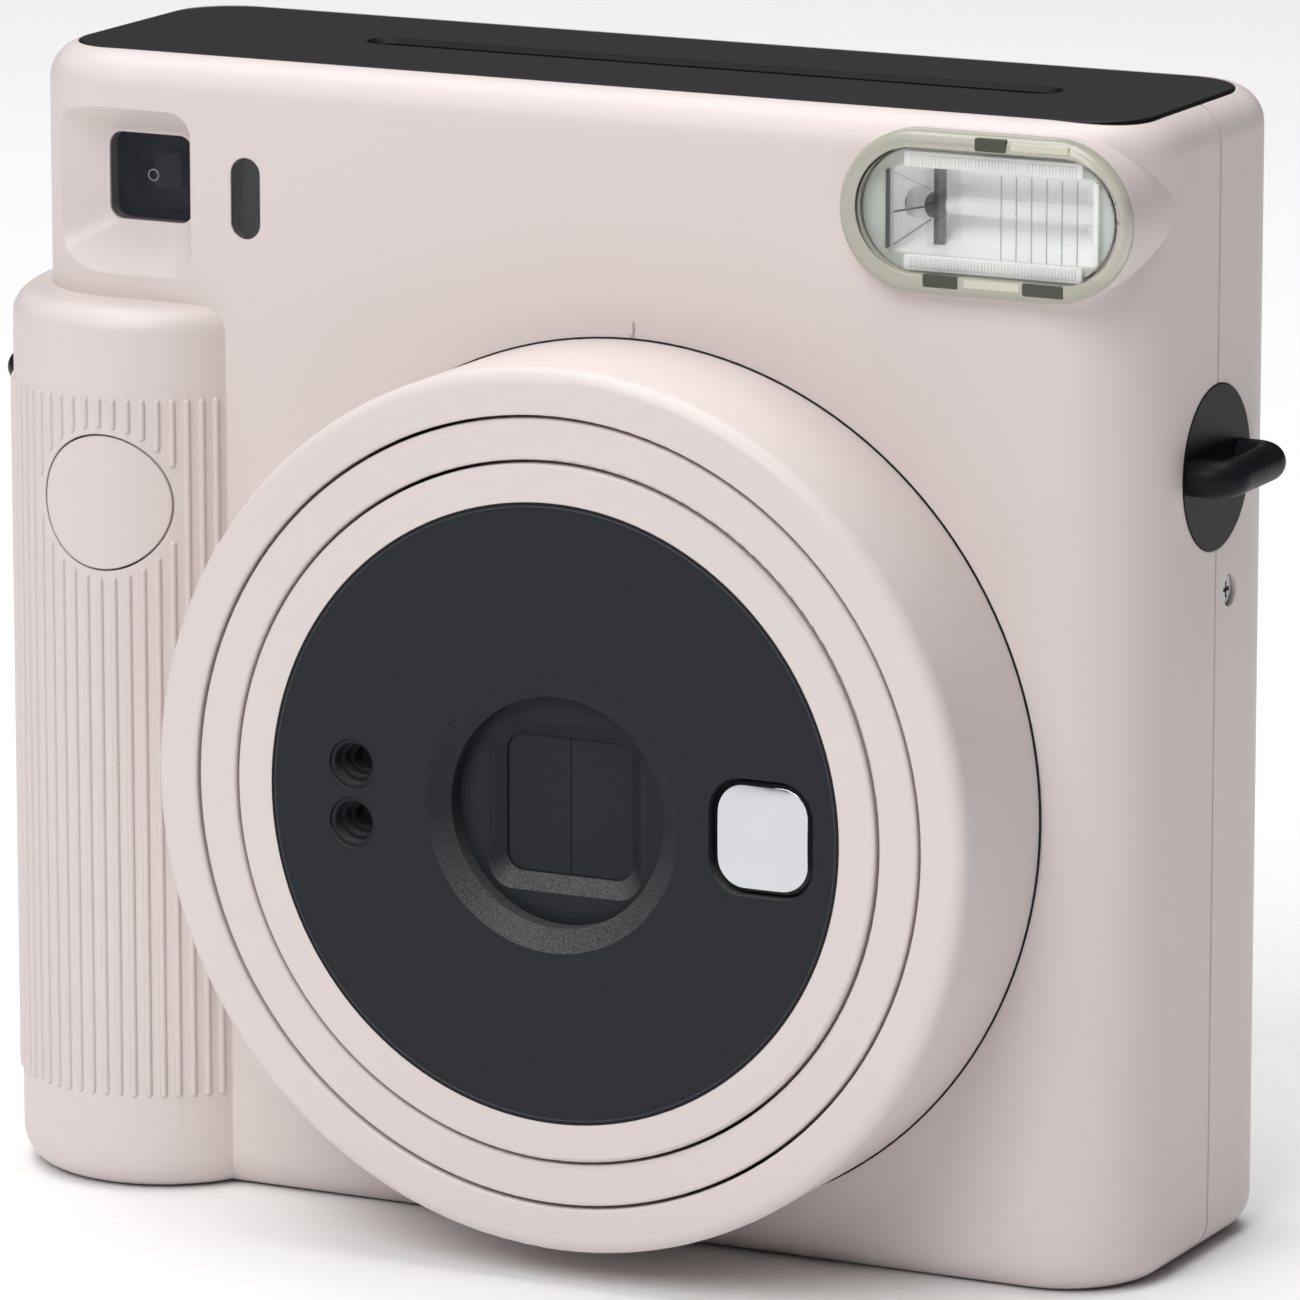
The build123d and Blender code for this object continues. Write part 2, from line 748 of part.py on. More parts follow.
def pressure_springs():
    """Two bowed leaf springs on the inside of the door that press on the film pack."""
    leaves = []
    for x in (FILM_X - 22, FILM_X + 22):
        with BuildPart() as leaf:
            with BuildSketch(side_plane(x - 4)):
                with BuildLine():
                    foot = REAR - DOOR_T
                    ThreePointArc((foot, 30), (foot - 3.6, 52), (foot, 74))
                    Line((foot, 74), (foot, 73.2))
                    ThreePointArc((foot, 73.2), (foot - 3.1, 52), (foot, 30.8))
                    Line((foot, 30.8), (foot, 30))
                make_face()
            extrude(amount=8)
        leaves.append(leaf.part)
    return Compound(children=leaves)


def door_latch():
    """A ribbed slider in the rear cover with a wide plate behind the wall."""
    knob = slab(Plane(origin=(LATCH_X, REAR - 3.3, LATCH_Z), x_dir=(1, 0, 0), z_dir=(0, 1, 0)),
                3.0, 10.0, 0.9, 3.3)
    plate = box_between((LATCH_X - 2.9, REAR - 3.6, LATCH_Z - 7.2), (LATCH_X + 2.9, REAR - 2.4, LATCH_Z + 7.2))
    grooves = []
    for step in range(-2, 3):
        z = LATCH_Z + step * 1.6
        grooves.append(box_between((LATCH_X - 3, REAR - 0.5, z - 0.25), (LATCH_X + 3, REAR + 2, z + 0.25)))
    return less(joined(knob, plate), *grooves)


def battery_door():
    left, right = CELL_X - HATCH_W / 2, CELL_X + HATCH_W / 2
    plate = box_between((left, REAR - DOOR_T, HATCH_LOW), (right, REAR, HATCH_HIGH))
    edge = rod(side_plane(left, HINGE_Y, HATCH_LOW), HINGE_EDGE, HATCH_W)
    bore = rod(side_plane(left - 1, HINGE_Y, HATCH_LOW), HINGE_PIN_R + FIT, HATCH_W + 2)
    grip = [box_between((CELL_X - 5, REAR - 0.6, z), (CELL_X + 5, REAR + 1, z + 0.7))
            for z in (HATCH_HIGH - 4, HATCH_HIGH - 5.6, HATCH_HIGH - 7.2)]
    return less(joined(plate, edge), bore, *grip)


# ---- batteries ----------------------------------------------------------------------
def battery_tray():
    """An open box behind the grip that holds the two cells."""
    half = CELL_R + 0.3
    wall = 1.2
    front = CELL_YS[0] - half
    low, high = CELL_LOW - 2.2, CELL_LOW + CELL_L + 2.2
    outer = box_between((CELL_X - half - wall, front - wall, low - wall), (CELL_X + half + wall, 24.6, high + wall))
    inner = box_between((CELL_X - half, front, low), (CELL_X + half, REAR, high))
    return less(outer, inner)


def battery_cell(y):
    """A short cylinder cell with a small raised contact on top."""
    can = rod(Plane(origin=(CELL_X, y, CELL_LOW)), CELL_R, CELL_L - 0.8)
    nub = rod(Plane(origin=(CELL_X, y, CELL_LOW + CELL_L - 0.8)), 2.6, 0.8)
    with BuildPart() as cell:
        add(can)
        fillet(edges(), 0.4)
        add(nub)
    return cell.part


def battery_contacts():
    """Plates above and coils below each cell."""
    pieces = []
    for y in CELL_YS:
        top = CELL_LOW + CELL_L
        pieces.append(box_between((CELL_X - 4, y - 4, top), (CELL_X + 4, y + 4, top + 2.2)))
        pieces.append(tube(Plane(origin=(CELL_X, y, CELL_LOW - 2.2)), 4.5, 3.2, 2.2))
    return Compound(children=pieces)


# ---- chassis, rollers and drive -----------------------------------------------------
CHAMBER_LEFT = FILM_X - CHAMBER_W / 2
CHAMBER_RIGHT = FILM_X + CHAMBER_W / 2


def chassis():
    """The film chamber: a box open to the rear door, with the picture window in front."""
    outer = box_between(
        (CHAMBER_LEFT - CHASSIS_WALL, FILM_PLANE - CHASSIS_WALL, CHAMBER_LOW - CHASSIS_WALL),
        (CHAMBER_RIGHT + CHASSIS_WALL, CHASSIS_REAR, CHAMBER_HIGH + CHASSIS_WALL),
    )
    inner = box_between((CHAMBER_LEFT, FILM_PLANE, CHAMBER_LOW), (CHAMBER_RIGHT, REAR, CHAMBER_HIGH))
    half = PICTURE / 2
    window = box_between((AXIS_X - half, 0, AXIS_Z - half), (AXIS_X + half, 12, AXIS_Z + half))
    way_out = box_between((FILM_X - 37.5, FILM_PLANE, 95), (FILM_X + 37.5, FILM_PLANE + 2.4, 110))
    return less(outer, inner, window, way_out)


TUNNEL_FRONT = 0.0
TUNNEL_HALF = 33.5
GUIDE_R = 31.4


def light_tunnel():
    """The box between the lens tube and the picture window."""
    rear = FILM_PLANE - CHASSIS_WALL
    outer = box_between((AXIS_X - TUNNEL_HALF, TUNNEL_FRONT, AXIS_Z - TUNNEL_HALF),
                        (AXIS_X + TUNNEL_HALF, rear, AXIS_Z + TUNNEL_HALF))
    half = TUNNEL_HALF - 1.5
    inner = box_between((AXIS_X - half, TUNNEL_FRONT + 1.5, AXIS_Z - half), (AXIS_X + half, rear + 1, AXIS_Z + half))
    return less(outer, inner, rod(front_plane(5, AXIS_X, AXIS_Z), GUIDE_R - 1.4, 10))


def lens_guide_tube():
    """The fixed tube that the barrel slides over."""
    return tube(front_plane(TUNNEL_FRONT, AXIS_X, AXIS_Z), GUIDE_R, GUIDE_R - 1.4, 21.5)


ROLLER_LEFT = FILM_X - 38.0
ROLLER_LENGTH = 76.0
BRACKET_LEFT = CHAMBER_LEFT - CHASSIS_WALL
BRACKET_RIGHT = CHAMBER_RIGHT + CHASSIS_WALL
BRACKET_T = 1.5
ROLLER_YS = (SLOT_Y + ROLLER_R + 0.15, SLOT_Y - ROLLER_R - 0.15)
GEAR_MODULE = 0.6
PINION_TEETH = 9
IDLER_TEETH = 27
ROLLER_TEETH = 18
MESH_GAP = 0.25
GEAR_X = BRACKET_LEFT - BRACKET_T - 0.6
GEAR_W = 2.4
IDLER_Z = ROLLER_Z - GEAR_MODULE * (ROLLER_TEETH + IDLER_TEETH) / 2 - MESH_GAP
PINION_Z = IDLER_Z - GEAR_MODULE * (IDLER_TEETH + PINION_TEETH) / 2 - MESH_GAP
GEAR_Y = ROLLER_YS[0]


def gear(teeth, z, x, first_angle, bore):
    """A spur gear with slim straight teeth; first_angle puts one tooth on that direction."""
    pitch_r = GEAR_MODULE * teeth / 2
    root, tip = pitch_r - 0.62, pitch_r + 0.45
    plane = side_plane(x - GEAR_W, GEAR_Y, z)
    with BuildPart() as wheel:
        with BuildSketch(plane):
            Circle(root)
            with PolarLocations(0, teeth, start_angle=first_angle):
                Polygon((root - 0.2, -0.42), (tip, -0.17), (tip, 0.17), (root - 0.2, 0.42), align=None)
            if bore:
                Circle(bore, mode=Mode.SUBTRACT)
        extrude(amount=GEAR_W)
    return wheel.part


def drive_roller():
    """The driven roller, with its shaft."""
    y = ROLLER_YS[0]
    body = rod(side_plane(ROLLER_LEFT, y, ROLLER_Z), ROLLER_R, ROLLER_LENGTH)
    left = GEAR_X - GEAR_W
    shaft = rod(side_plane(left, y, ROLLER_Z), SHAFT_R, BRACKET_RIGHT + BRACKET_T - left)
    return joined(body, shaft)


def pinch_roller():
    y = ROLLER_YS[1]
    body = rod(side_plane(ROLLER_LEFT, y, ROLLER_Z), ROLLER_R, ROLLER_LENGTH)
    left = BRACKET_LEFT - BRACKET_T
    shaft = rod(side_plane(left, y, ROLLER_Z), SHAFT_R, BRACKET_RIGHT + BRACKET_T - left)
    return joined(body, shaft)


def roller_gear():
    return gear(ROLLER_TEETH, ROLLER_Z, GEAR_X, 270, SHAFT_R)


def idler_gear():
    """A tooth points down at the pinion and a gap points up at the roller gear."""
    return gear(IDLER_TEETH, IDLER_Z, GEAR_X, 270, SHAFT_R + FIT)


def motor_pinion():
    """The pinion on the motor's shaft."""
    shaft = rod(side_plane(MOTOR_FRONT + 0.1, GEAR_Y, PINION_Z), 0.75, GEAR_X - MOTOR_FRONT - 0.1)
    return joined(gear(PINION_TEETH, PINION_Z, GEAR_X, 270, 0), shaft)


def bracket_plate(x, low):
    """One end plate for the rollers."""
    plate = box_between((x, 3.4, low), (x + BRACKET_T, 15.4, 111.0))
    bores = [rod(side_plane(x - 1, y, ROLLER_Z), SHAFT_R + FIT, BRACKET_T + 2) for y in ROLLER_YS]
    return less(plate, *bores)


def gear_plate():
    """The left end plate, which also carries the idler gear on a fixed pin."""
    x = BRACKET_LEFT - BRACKET_T
    pin = rod(side_plane(GEAR_X - GEAR_W - 0.3, GEAR_Y, IDLER_Z), SHAFT_R, x - GEAR_X + GEAR_W + 0.3)
    return joined(bracket_plate(x, 76.0), pin)


def roller_bracket():
    return bracket_plate(BRACKET_RIGHT, 98.0)


MOTOR_FRONT = GEAR_X - GEAR_W - 0.8
MOTOR_R = 6.0


def drive_motor():
    """A small round motor lying across the camera."""
    can = rod(side_plane(MOTOR_FRONT - 18.5, GEAR_Y, PINION_Z), MOTOR_R, 18.5)
    collar = rod(side_plane(MOTOR_FRONT - 19.5, GEAR_Y, PINION_Z), 2.0, 1.0)
    with BuildPart() as motor:
        add(can)
        fillet(edges(), 0.6)
        add(collar)
    return motor.part


# ---- electronics --------------------------------------------------------------------
BOARD_X = 52.9


def main_board():
    return box_between((BOARD_X, -6.0, 14.0), (BOARD_X + 1.2, 22.0, 70.0))


def board_parts():
    """Chips, a transformer and a connector on the outer face of the board."""
    x = BOARD_X + 1.2
    sizes = (
        ((-3.0, 20.0), (9.0, 9.0, 1.4)),
        ((9.0, 22.0), (8.0, 10.0, 5.5)),
        ((-2.0, 36.0), (6.0, 6.0, 1.2)),
        ((8.0, 38.0), (10.0, 4.0, 3.2)),
        ((-3.0, 50.0), (12.0, 5.0, 2.6)),
    )
    return Compound(children=[
        box_between((x, y, z), (x + high, y + wide, z + tall)) for (y, z), (wide, tall, high) in sizes
    ])


def flash_capacitor():
    with BuildPart() as can:
        add(rod(side_plane(-12.0, 0.4, 92.0), 6.2, 34.0))
        fillet(edges(), 0.7)
    return can.part


SWITCH_FRONT = -6.0
SWITCH_BOARD_Y = -2.6


def shutter_switch():
    body = box_between((BUTTON_X - 3, SWITCH_FRONT + 0.7, BUTTON_Z - 3),
                       (BUTTON_X + 3, SWITCH_BOARD_Y, BUTTON_Z + 3))
    key = rod(front_plane(SWITCH_FRONT + 0.7, BUTTON_X, BUTTON_Z), 1.2, 0.7)
    return joined(body, key)


def switch_board():
    return box_between((-57.0, SWITCH_BOARD_Y, 62.0), (-37.0, SWITCH_BOARD_Y + 1.2, 74.8))


# ---- shutter button -----------------------------------------------------------------
BUTTON_REAR = -9.2
FLANGE_T = 0.9


def shutter_button():
    """A round cap that follows the grip, with a flange and a plunger behind it."""
    cap = common(OUTSIDE, rod(front_plane(BUTTON_REAR, BUTTON_X, BUTTON_Z), BUTTON_R, 12))
    flange = rod(front_plane(BUTTON_REAR + FLANGE_T, BUTTON_X, BUTTON_Z), BUTTON_R + 1.2, FLANGE_T)
    plunger = rod(front_plane(SWITCH_FRONT - BUTTON_TRAVEL - 0.2, BUTTON_X, BUTTON_Z), 1.6, 2.4)
    return joined(cap, flange, plunger)


def button_spring():
    """A few open turns round the plunger, shorter than the gap it works in."""
    start = (BUTTON_X, SWITCH_BOARD_Y - 0.4, BUTTON_Z)
    with BuildPart() as coil:
        with BuildLine():
            path = Helix(pitch=1.3, height=3.9, radius=5.0, center=start, direction=(0, -1, 0))
        with BuildSketch(Plane(origin=path @ 0, z_dir=path % 0)):
            Circle(0.3)
        sweep(is_frenet=True)
    return coil.part


# ---- lens dial and barrel -----------------------------------------------------------
def turned(points):
    """A ring turned about the lens axis; points are (radius, y) pairs of its section."""
    plane = Plane(origin=(AXIS_X, 0, AXIS_Z), x_dir=(1, 0, 0), z_dir=(0, 0, 1))
    with BuildPart() as ring:
        with BuildSketch(plane):
            with BuildLine():
                Polyline(*points, close=True)
            make_face()
        revolve(axis=Axis((AXIS_X, 0, AXIS_Z), (0, 1, 0)))
    return ring.part


def lens_dial():
    """The big outer ring, with a skirt through the cover."""
    bore = OUTER_STAGE_R + SLIDE_GAP
    section = (
        (bore, LENS_FRONT), (DIAL_R, LENS_FRONT), (DIAL_R, FRONT - 0.15),
        (DIAL_SKIRT_R, FRONT - 0.15), (DIAL_SKIRT_R, DIAL_SKIRT_REAR), (bore, DIAL_SKIRT_REAR),
    )
    with BuildPart() as dial:
        add(turned(section))
        front = faces().sort_by(Axis.Y)[0].edges().sort_by(SortBy.LENGTH)
        fillet(front[-1], DIAL_ROUND)
        fillet(faces().sort_by(Axis.Y)[0].edges().sort_by(SortBy.LENGTH)[0], 0.35)
    return dial.part


def dial_retainer():
    """The ring behind the front wall that keeps the dial in."""
    front = FRONT + WALL + 0.35
    return tube(front_plane(DIAL_SKIRT_REAR, AXIS_X, AXIS_Z), DIAL_SKIRT_R + 2.0, DIAL_SKIRT_R,
                DIAL_SKIRT_REAR - front)


STAGE_REAR = -6.0


def barrel_outer_stage():
    outer = OUTER_STAGE_R
    bore = INNER_STAGE_R + SLIDE_GAP
    section = ((bore, LENS_FRONT + 0.1), (outer, LENS_FRONT + 0.1), (outer, STAGE_REAR), (bore, STAGE_REAR))
    with BuildPart() as stage:
        add(turned(section))
        fillet(faces().sort_by(Axis.Y)[0].edges(), 0.35)
    return stage.part


def barrel_inner_stage():
    """The inner tube, with a ledge that carries the lens panel and the lens board."""
    outer, tube_r = INNER_STAGE_R, 33.6
    section = (
        (DISC_R, LENS_FRONT), (outer, LENS_FRONT), (outer, STAGE_REAR), (tube_r, STAGE_REAR),
        (tube_r, LENS_FRONT + 3.0), (29.5, LENS_FRONT + 3.0), (29.5, LENS_FRONT + 2.0),
        (DISC_R, LENS_FRONT + 2.0),
    )
    with BuildPart() as stage:
        add(turned(section))
        fillet(faces().sort_by(Axis.Y)[0].edges().sort_by(SortBy.LENGTH)[-1], 0.35)
    return stage.part


HOLE_X = AXIS_X - 22.4
HOLE_RISES = (-3.0, 3.0)
HOLE_R = 2.6
MIRROR_X = AXIS_X + 23.1
PANEL_T = 2.0


def lens_panel():
    """The black disc: bevelled lens hole, two sensor holes and a seat for the mirror."""
    section = (
        (LENS_BEVEL_R, LENS_FRONT), (DISC_R - 0.1, LENS_FRONT), (DISC_R - 0.1, LENS_FRONT + PANEL_T),
        (LENS_HOLE_R + 1.4, LENS_FRONT + PANEL_T), (LENS_HOLE_R + 1.4, LENS_FRONT + 3.0),
        (LENS_HOLE_R, LENS_FRONT + 3.0), (LENS_HOLE_R, LENS_FRONT + 1.2),
    )
    holes = [rod(front_plane(LENS_FRONT + 5, HOLE_X, AXIS_Z + rise), HOLE_R, 10) for rise in HOLE_RISES]
    seat = slab(front_plane(LENS_FRONT + 1.5, MIRROR_X, AXIS_Z), 11.4, 11.9, 3.6, 5)
    return less(turned(section), *holes, seat)


def selfie_mirror():
    """A small bulging mirror with bevelled edges."""
    plate = slab(front_plane(LENS_FRONT + 1.5, MIRROR_X, AXIS_Z), 10.5, 11.1, 3.2, 1.8)
    with BuildPart() as ball:
        with Locations((MIRROR_X, LENS_FRONT + 0.1 + 40.0, AXIS_Z)):
            Sphere(40.0)
    with BuildPart() as mirror:
        add(common(plate, ball.part))
        chamfer(faces().sort_by(Axis.Y)[0].edges(), 0.35)
    return mirror.part


def sensor_sleeve(rise):
    """A stepped black funnel behind one of the two small holes."""
    body = rod(front_plane(LENS_FRONT + 5.6, HOLE_X, AXIS_Z + rise), HOLE_R, 5.3)
    steps = [rod(front_plane(LENS_FRONT + depth, HOLE_X, AXIS_Z + rise), radius, depth + 1)
             for depth, radius in ((1.6, 2.15), (2.8, 1.7), (4.2, 1.25))]
    return less(body, *steps)


BEZEL_FRONT = LENS_FRONT + 3.0
BEZEL_T = 1.2


def lens_bezel():
    """The round plate behind the lens hole with the bevelled square window."""
    plate = rod(front_plane(BEZEL_FRONT + BEZEL_T, AXIS_X, AXIS_Z), LENS_HOLE_R + 1.4, BEZEL_T)
    with BuildPart() as funnel:
        with BuildSketch(front_plane(BEZEL_FRONT, AXIS_X, AXIS_Z)):
            RectangleRounded(17.0, 17.4, 2.6)
        with BuildSketch(front_plane(BEZEL_FRONT + BEZEL_T, AXIS_X, AXIS_Z)):
            RectangleRounded(DOOR_SIDE, DOOR_SIDE, 1.8)
        loft()
    return less(plate, funnel.part)


COVER_FRONT = BEZEL_FRONT + BEZEL_T + 0.2
COVER_T = 0.8
COVER_TRAVEL = 7.4


def lens_cover(side):
    """One of the two sliding leaves that close the lens window."""
    inner, outer = side * 0.04, side * 7.8
    low, high = sorted((AXIS_X + inner, AXIS_X + outer))
    return box_between((low, COVER_FRONT, AXIS_Z - 7.8), (high, COVER_FRONT + COVER_T, AXIS_Z + 7.8))


BOARD_FRONT = COVER_FRONT + COVER_T + 0.3


def lens_board():
    """The disc behind the sliding leaves, moulded with the tube that holds the front lens."""
    plate = rod(front_plane(BOARD_FRONT + 1.0, AXIS_X, AXIS_Z), 33.6, 1.0)
    cell = tube(front_plane(CELL_REAR, AXIS_X, AXIS_Z), 9.2, 7.6, CELL_REAR - CELL_FRONT)
    opening = rod(front_plane(BOARD_FRONT + 3, AXIS_X, AXIS_Z), 7.0, 5)
    sleeves = stadium(front_plane(BOARD_FRONT + 3, HOLE_X, AXIS_Z), 5.6, 11.6, 6)
    return joined(less(plate, opening, sleeves), cell)


CELL_FRONT = BOARD_FRONT + 1.0
CELL_REAR = CELL_FRONT + 5.0


def lens_element(radius, front, rear, bulge_front, bulge_rear):
    """A lens turned about the axis, with bulging faces."""
    plane = Plane(origin=(AXIS_X, 0, AXIS_Z), x_dir=(1, 0, 0), z_dir=(0, 0, 1))
    with BuildPart() as glass:
        with BuildSketch(plane):
            with BuildLine():
                Line((0, front - bulge_front), (0, rear + bulge_rear))
                RadiusArc((0, rear + bulge_rear), (radius, rear), bulge_radius(radius, bulge_rear))
                Line((radius, rear), (radius, front))
                RadiusArc((radius, front), (0, front - bulge_front), bulge_radius(radius, bulge_front))
            make_face()
        revolve(axis=Axis((AXIS_X, 0, AXIS_Z), (0, 1, 0)))
    return glass.part


def bulge_radius(radius, bulge):
    """The sphere radius of a face that bulges by that much at its middle."""
    return (radius**2 + bulge**2) / (2 * bulge)


def front_lens():
    return lens_element(7.6, CELL_FRONT + 1.6, CELL_FRONT + 3.2, 1.0, 0.5)


CASE_FRONT = CELL_REAR
CASE_D = 3.0
CASE_R = 14.0
REAR_CELL_FRONT = CASE_FRONT + CASE_D


def shutter_case():
    """A flat round box for the blades, moulded with their pin and the rear lens tube."""
    outer = rod(front_plane(CASE_FRONT + CASE_D, AXIS_X, AXIS_Z), CASE_R, CASE_D)
    inner = rod(front_plane(CASE_FRONT + CASE_D - 0.8, AXIS_X, AXIS_Z), CASE_R - 0.8, CASE_D - 1.6)
    opening = rod(front_plane(CASE_FRONT + 5, AXIS_X, AXIS_Z), 3.4, 10)
    pin = rod(front_plane(CASE_FRONT + CASE_D - 0.8, AXIS_X, AXIS_Z + BLADE_PIVOT), 0.6, CASE_D - 1.6)
    rear_tube = tube(front_plane(REAR_CELL_FRONT + 4, AXIS_X, AXIS_Z), 7.0, 5.6, 4.0)
    return joined(less(outer, inner, opening), pin, rear_tube)


BLADE_PIVOT = -8.0
BLADE_T = 0.3
BLADE_YS = (CASE_FRONT + 1.35, CASE_FRONT + 1.95)


def shutter_blade(index):
    """A thin blade: a round flag over the opening, on an arm from the shared pivot."""
    plane = front_plane(BLADE_YS[index], AXIS_X, AXIS_Z)
    with BuildPart() as blade:
        with BuildSketch(plane):
            Circle(4.4)
            with Locations((0, BLADE_PIVOT)):
                Circle(1.6)
            with Locations((0, BLADE_PIVOT / 2)):
                Rectangle(2.4, -BLADE_PIVOT)
            with Locations((0, BLADE_PIVOT)):
                Circle(0.6 + FIT, mode=Mode.SUBTRACT)
        extrude(amount=BLADE_T)
    return blade.part


def rear_lens():
    return lens_element(5.6, REAR_CELL_FRONT + 1.4, REAR_CELL_FRONT + 2.6, 0.6, 0.6)


# ---- every piece --------------------------------------------------------------------
PIECES = {
    "front_cover": front_cover(),
    "rear_cover": rear_cover(),
    "top_panel": top_panel(),
    "exit_flap": exit_flap(),
    "viewfinder_window": viewfinder_window(),
    "viewfinder_tube": viewfinder_tube(),
    "viewfinder_objective": viewfinder_objective(),
    "eyepiece_frame": eyepiece_frame(),
    "eyepiece_lens": eyepiece_lens(),
    "light_sensor_window": light_sensor_window(),
    "flash_window": flash_window(),
    "flash_diffuser": flash_diffuser(),
    "flash_reflector": flash_reflector(),
    "flash_tube": flash_tube(),
    "flash_holders": flash_holders(),
    "strap_lug_right": strap_lug(1),
    "strap_lug_left": strap_lug(-1),
    "case_screws": case_screws(),
    "film_door": film_door(),
    "door_windows": door_windows(),
    "pressure_springs": pressure_springs(),
    "hinge_pins": Compound(children=[door_hinge_pin(), hatch_hinge_pin()]),
    "door_latch": door_latch(),
    "battery_door": battery_door(),
    "battery_tray": battery_tray(),
    "battery_cells": Compound(children=[battery_cell(y) for y in CELL_YS]),
    "battery_contacts": battery_contacts(),
    "chassis": chassis(),
    "light_tunnel": light_tunnel(),
    "lens_guide_tube": lens_guide_tube(),
    "drive_roller": drive_roller(),
    "pinch_roller": pinch_roller(),
    "roller_gear": roller_gear(),
    "idler_gear": idler_gear(),
    "motor_pinion": motor_pinion(),
    "drive_motor": drive_motor(),
    "gear_plate": gear_plate(),
    "roller_bracket": roller_bracket(),
    "main_board": main_board(),
    "board_parts": board_parts(),
    "flash_capacitor": flash_capacitor(),
    "shutter_button": shutter_button(),
    "button_spring": button_spring(),
    "switch_parts": joined(shutter_switch(), switch_board()),
    "lens_dial": lens_dial(),
    "dial_retainer": dial_retainer(),
    "barrel_outer_stage": barrel_outer_stage(),
    "barrel_inner_stage": barrel_inner_stage(),
    "lens_panel": lens_panel(),
    "lens_bezel": lens_bezel(),
    "lens_cover_left": lens_cover(-1),
    "lens_cover_right": lens_cover(1),
    "selfie_mirror": selfie_mirror(),
    "sensor_sleeves": Compound(children=[sensor_sleeve(rise) for rise in HOLE_RISES]),
    "lens_board": lens_board(),
    "front_lens": front_lens(),
    "shutter_case": shutter_case(),
    "shutter_blade_left": shutter_blade(0),
    "shutter_blade_right": shutter_blade(1),
    "rear_lens": rear_lens(),
}

for name, piece in PIECES.items():
    save(piece, name)
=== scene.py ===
"""Instant camera: the looks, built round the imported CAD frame. Metres, in the CAD's frame:
+Z up, the lens looks along -Y, and +X is to the right seen from in front."""
import math

import bmesh
import bpy
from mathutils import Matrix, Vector


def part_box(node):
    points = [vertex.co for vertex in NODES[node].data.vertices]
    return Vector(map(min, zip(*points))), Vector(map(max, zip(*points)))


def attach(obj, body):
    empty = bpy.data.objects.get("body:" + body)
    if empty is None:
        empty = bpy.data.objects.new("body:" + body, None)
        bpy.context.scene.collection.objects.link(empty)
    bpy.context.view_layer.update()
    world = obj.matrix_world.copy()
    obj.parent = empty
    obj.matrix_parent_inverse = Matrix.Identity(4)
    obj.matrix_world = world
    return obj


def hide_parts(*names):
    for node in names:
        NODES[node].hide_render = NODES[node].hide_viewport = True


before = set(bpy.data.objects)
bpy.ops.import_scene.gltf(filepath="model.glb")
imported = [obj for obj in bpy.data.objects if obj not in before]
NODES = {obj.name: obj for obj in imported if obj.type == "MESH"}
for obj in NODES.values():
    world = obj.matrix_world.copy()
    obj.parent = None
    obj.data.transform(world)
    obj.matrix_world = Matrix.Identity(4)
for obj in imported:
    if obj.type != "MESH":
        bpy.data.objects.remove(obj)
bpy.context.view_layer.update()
MM = 0.001
FACE = -10.75 * MM        # the flat front face of the body
SLOT_LENGTH = 78.4 * MM   # the film slot with the painted shade round it
SLOT_SHADE_HALF_WIDTH = 2.35 * MM      # half the width of the slot's painted shade
NODE_CREASE = math.radians(28)     # sharper edges than this stay crisp on the CAD nodes
PIECE_CREASE = math.radians(30)    # and on the added pieces

# ---- camera and light ---------------------------------------------------------------
scene = bpy.context.scene
scene.view_settings.view_transform = "Standard"
scene.cycles.max_bounces = 14
scene.cycles.transmission_bounces = 12
scene.cycles.transparent_max_bounces = 16
scene.cycles.sample_clamp_indirect = 6.0

CAMERA_AT = (0.42945, -0.84795, 0.26485)
CAMERA_DOWN = 12.23      # degrees below the horizon
CAMERA_TURN = 26.46      # degrees to the right of straight on
CAMERA_LENS = 263.3      # mm on a 36 mm sensor

AIM = (0, 0, 0.06)       # the point that the lights look at
SOFTBOX = 1.8            # the side of each light, in metres
AMBIENT = 0.02           # the strength of the world's white


def add_camera():
    data = bpy.data.cameras.new("camera")
    data.lens = CAMERA_LENS
    data.sensor_width = 36.0
    data.clip_start = 0.02
    data.clip_end = 20.0
    camera = bpy.data.objects.new("camera", data)
    camera.location = CAMERA_AT
    camera.rotation_euler = (math.radians(90 - CAMERA_DOWN), 0, math.radians(CAMERA_TURN))
    scene.collection.objects.link(camera)
    scene.camera = camera


def add_light(name, at, watts):
    """A square softbox at a place, aimed at the camera's middle."""
    data = bpy.data.lights.new(name, "AREA")
    data.shape = "RECTANGLE"
    data.size = data.size_y = SOFTBOX
    data.energy = watts
    lamp = bpy.data.objects.new(name, data)
    lamp.location = at
    lamp.rotation_euler = (Vector(AIM) - Vector(at)).to_track_quat("-Z", "Y").to_euler()
    scene.collection.objects.link(lamp)


def add_world(strength):
    world = bpy.data.worlds.new("studio")
    world.use_nodes = True
    world.node_tree.nodes["Background"].inputs["Color"].default_value = (1, 1, 1, 1)
    world.node_tree.nodes["Background"].inputs["Strength"].default_value = strength
    scene.world = world


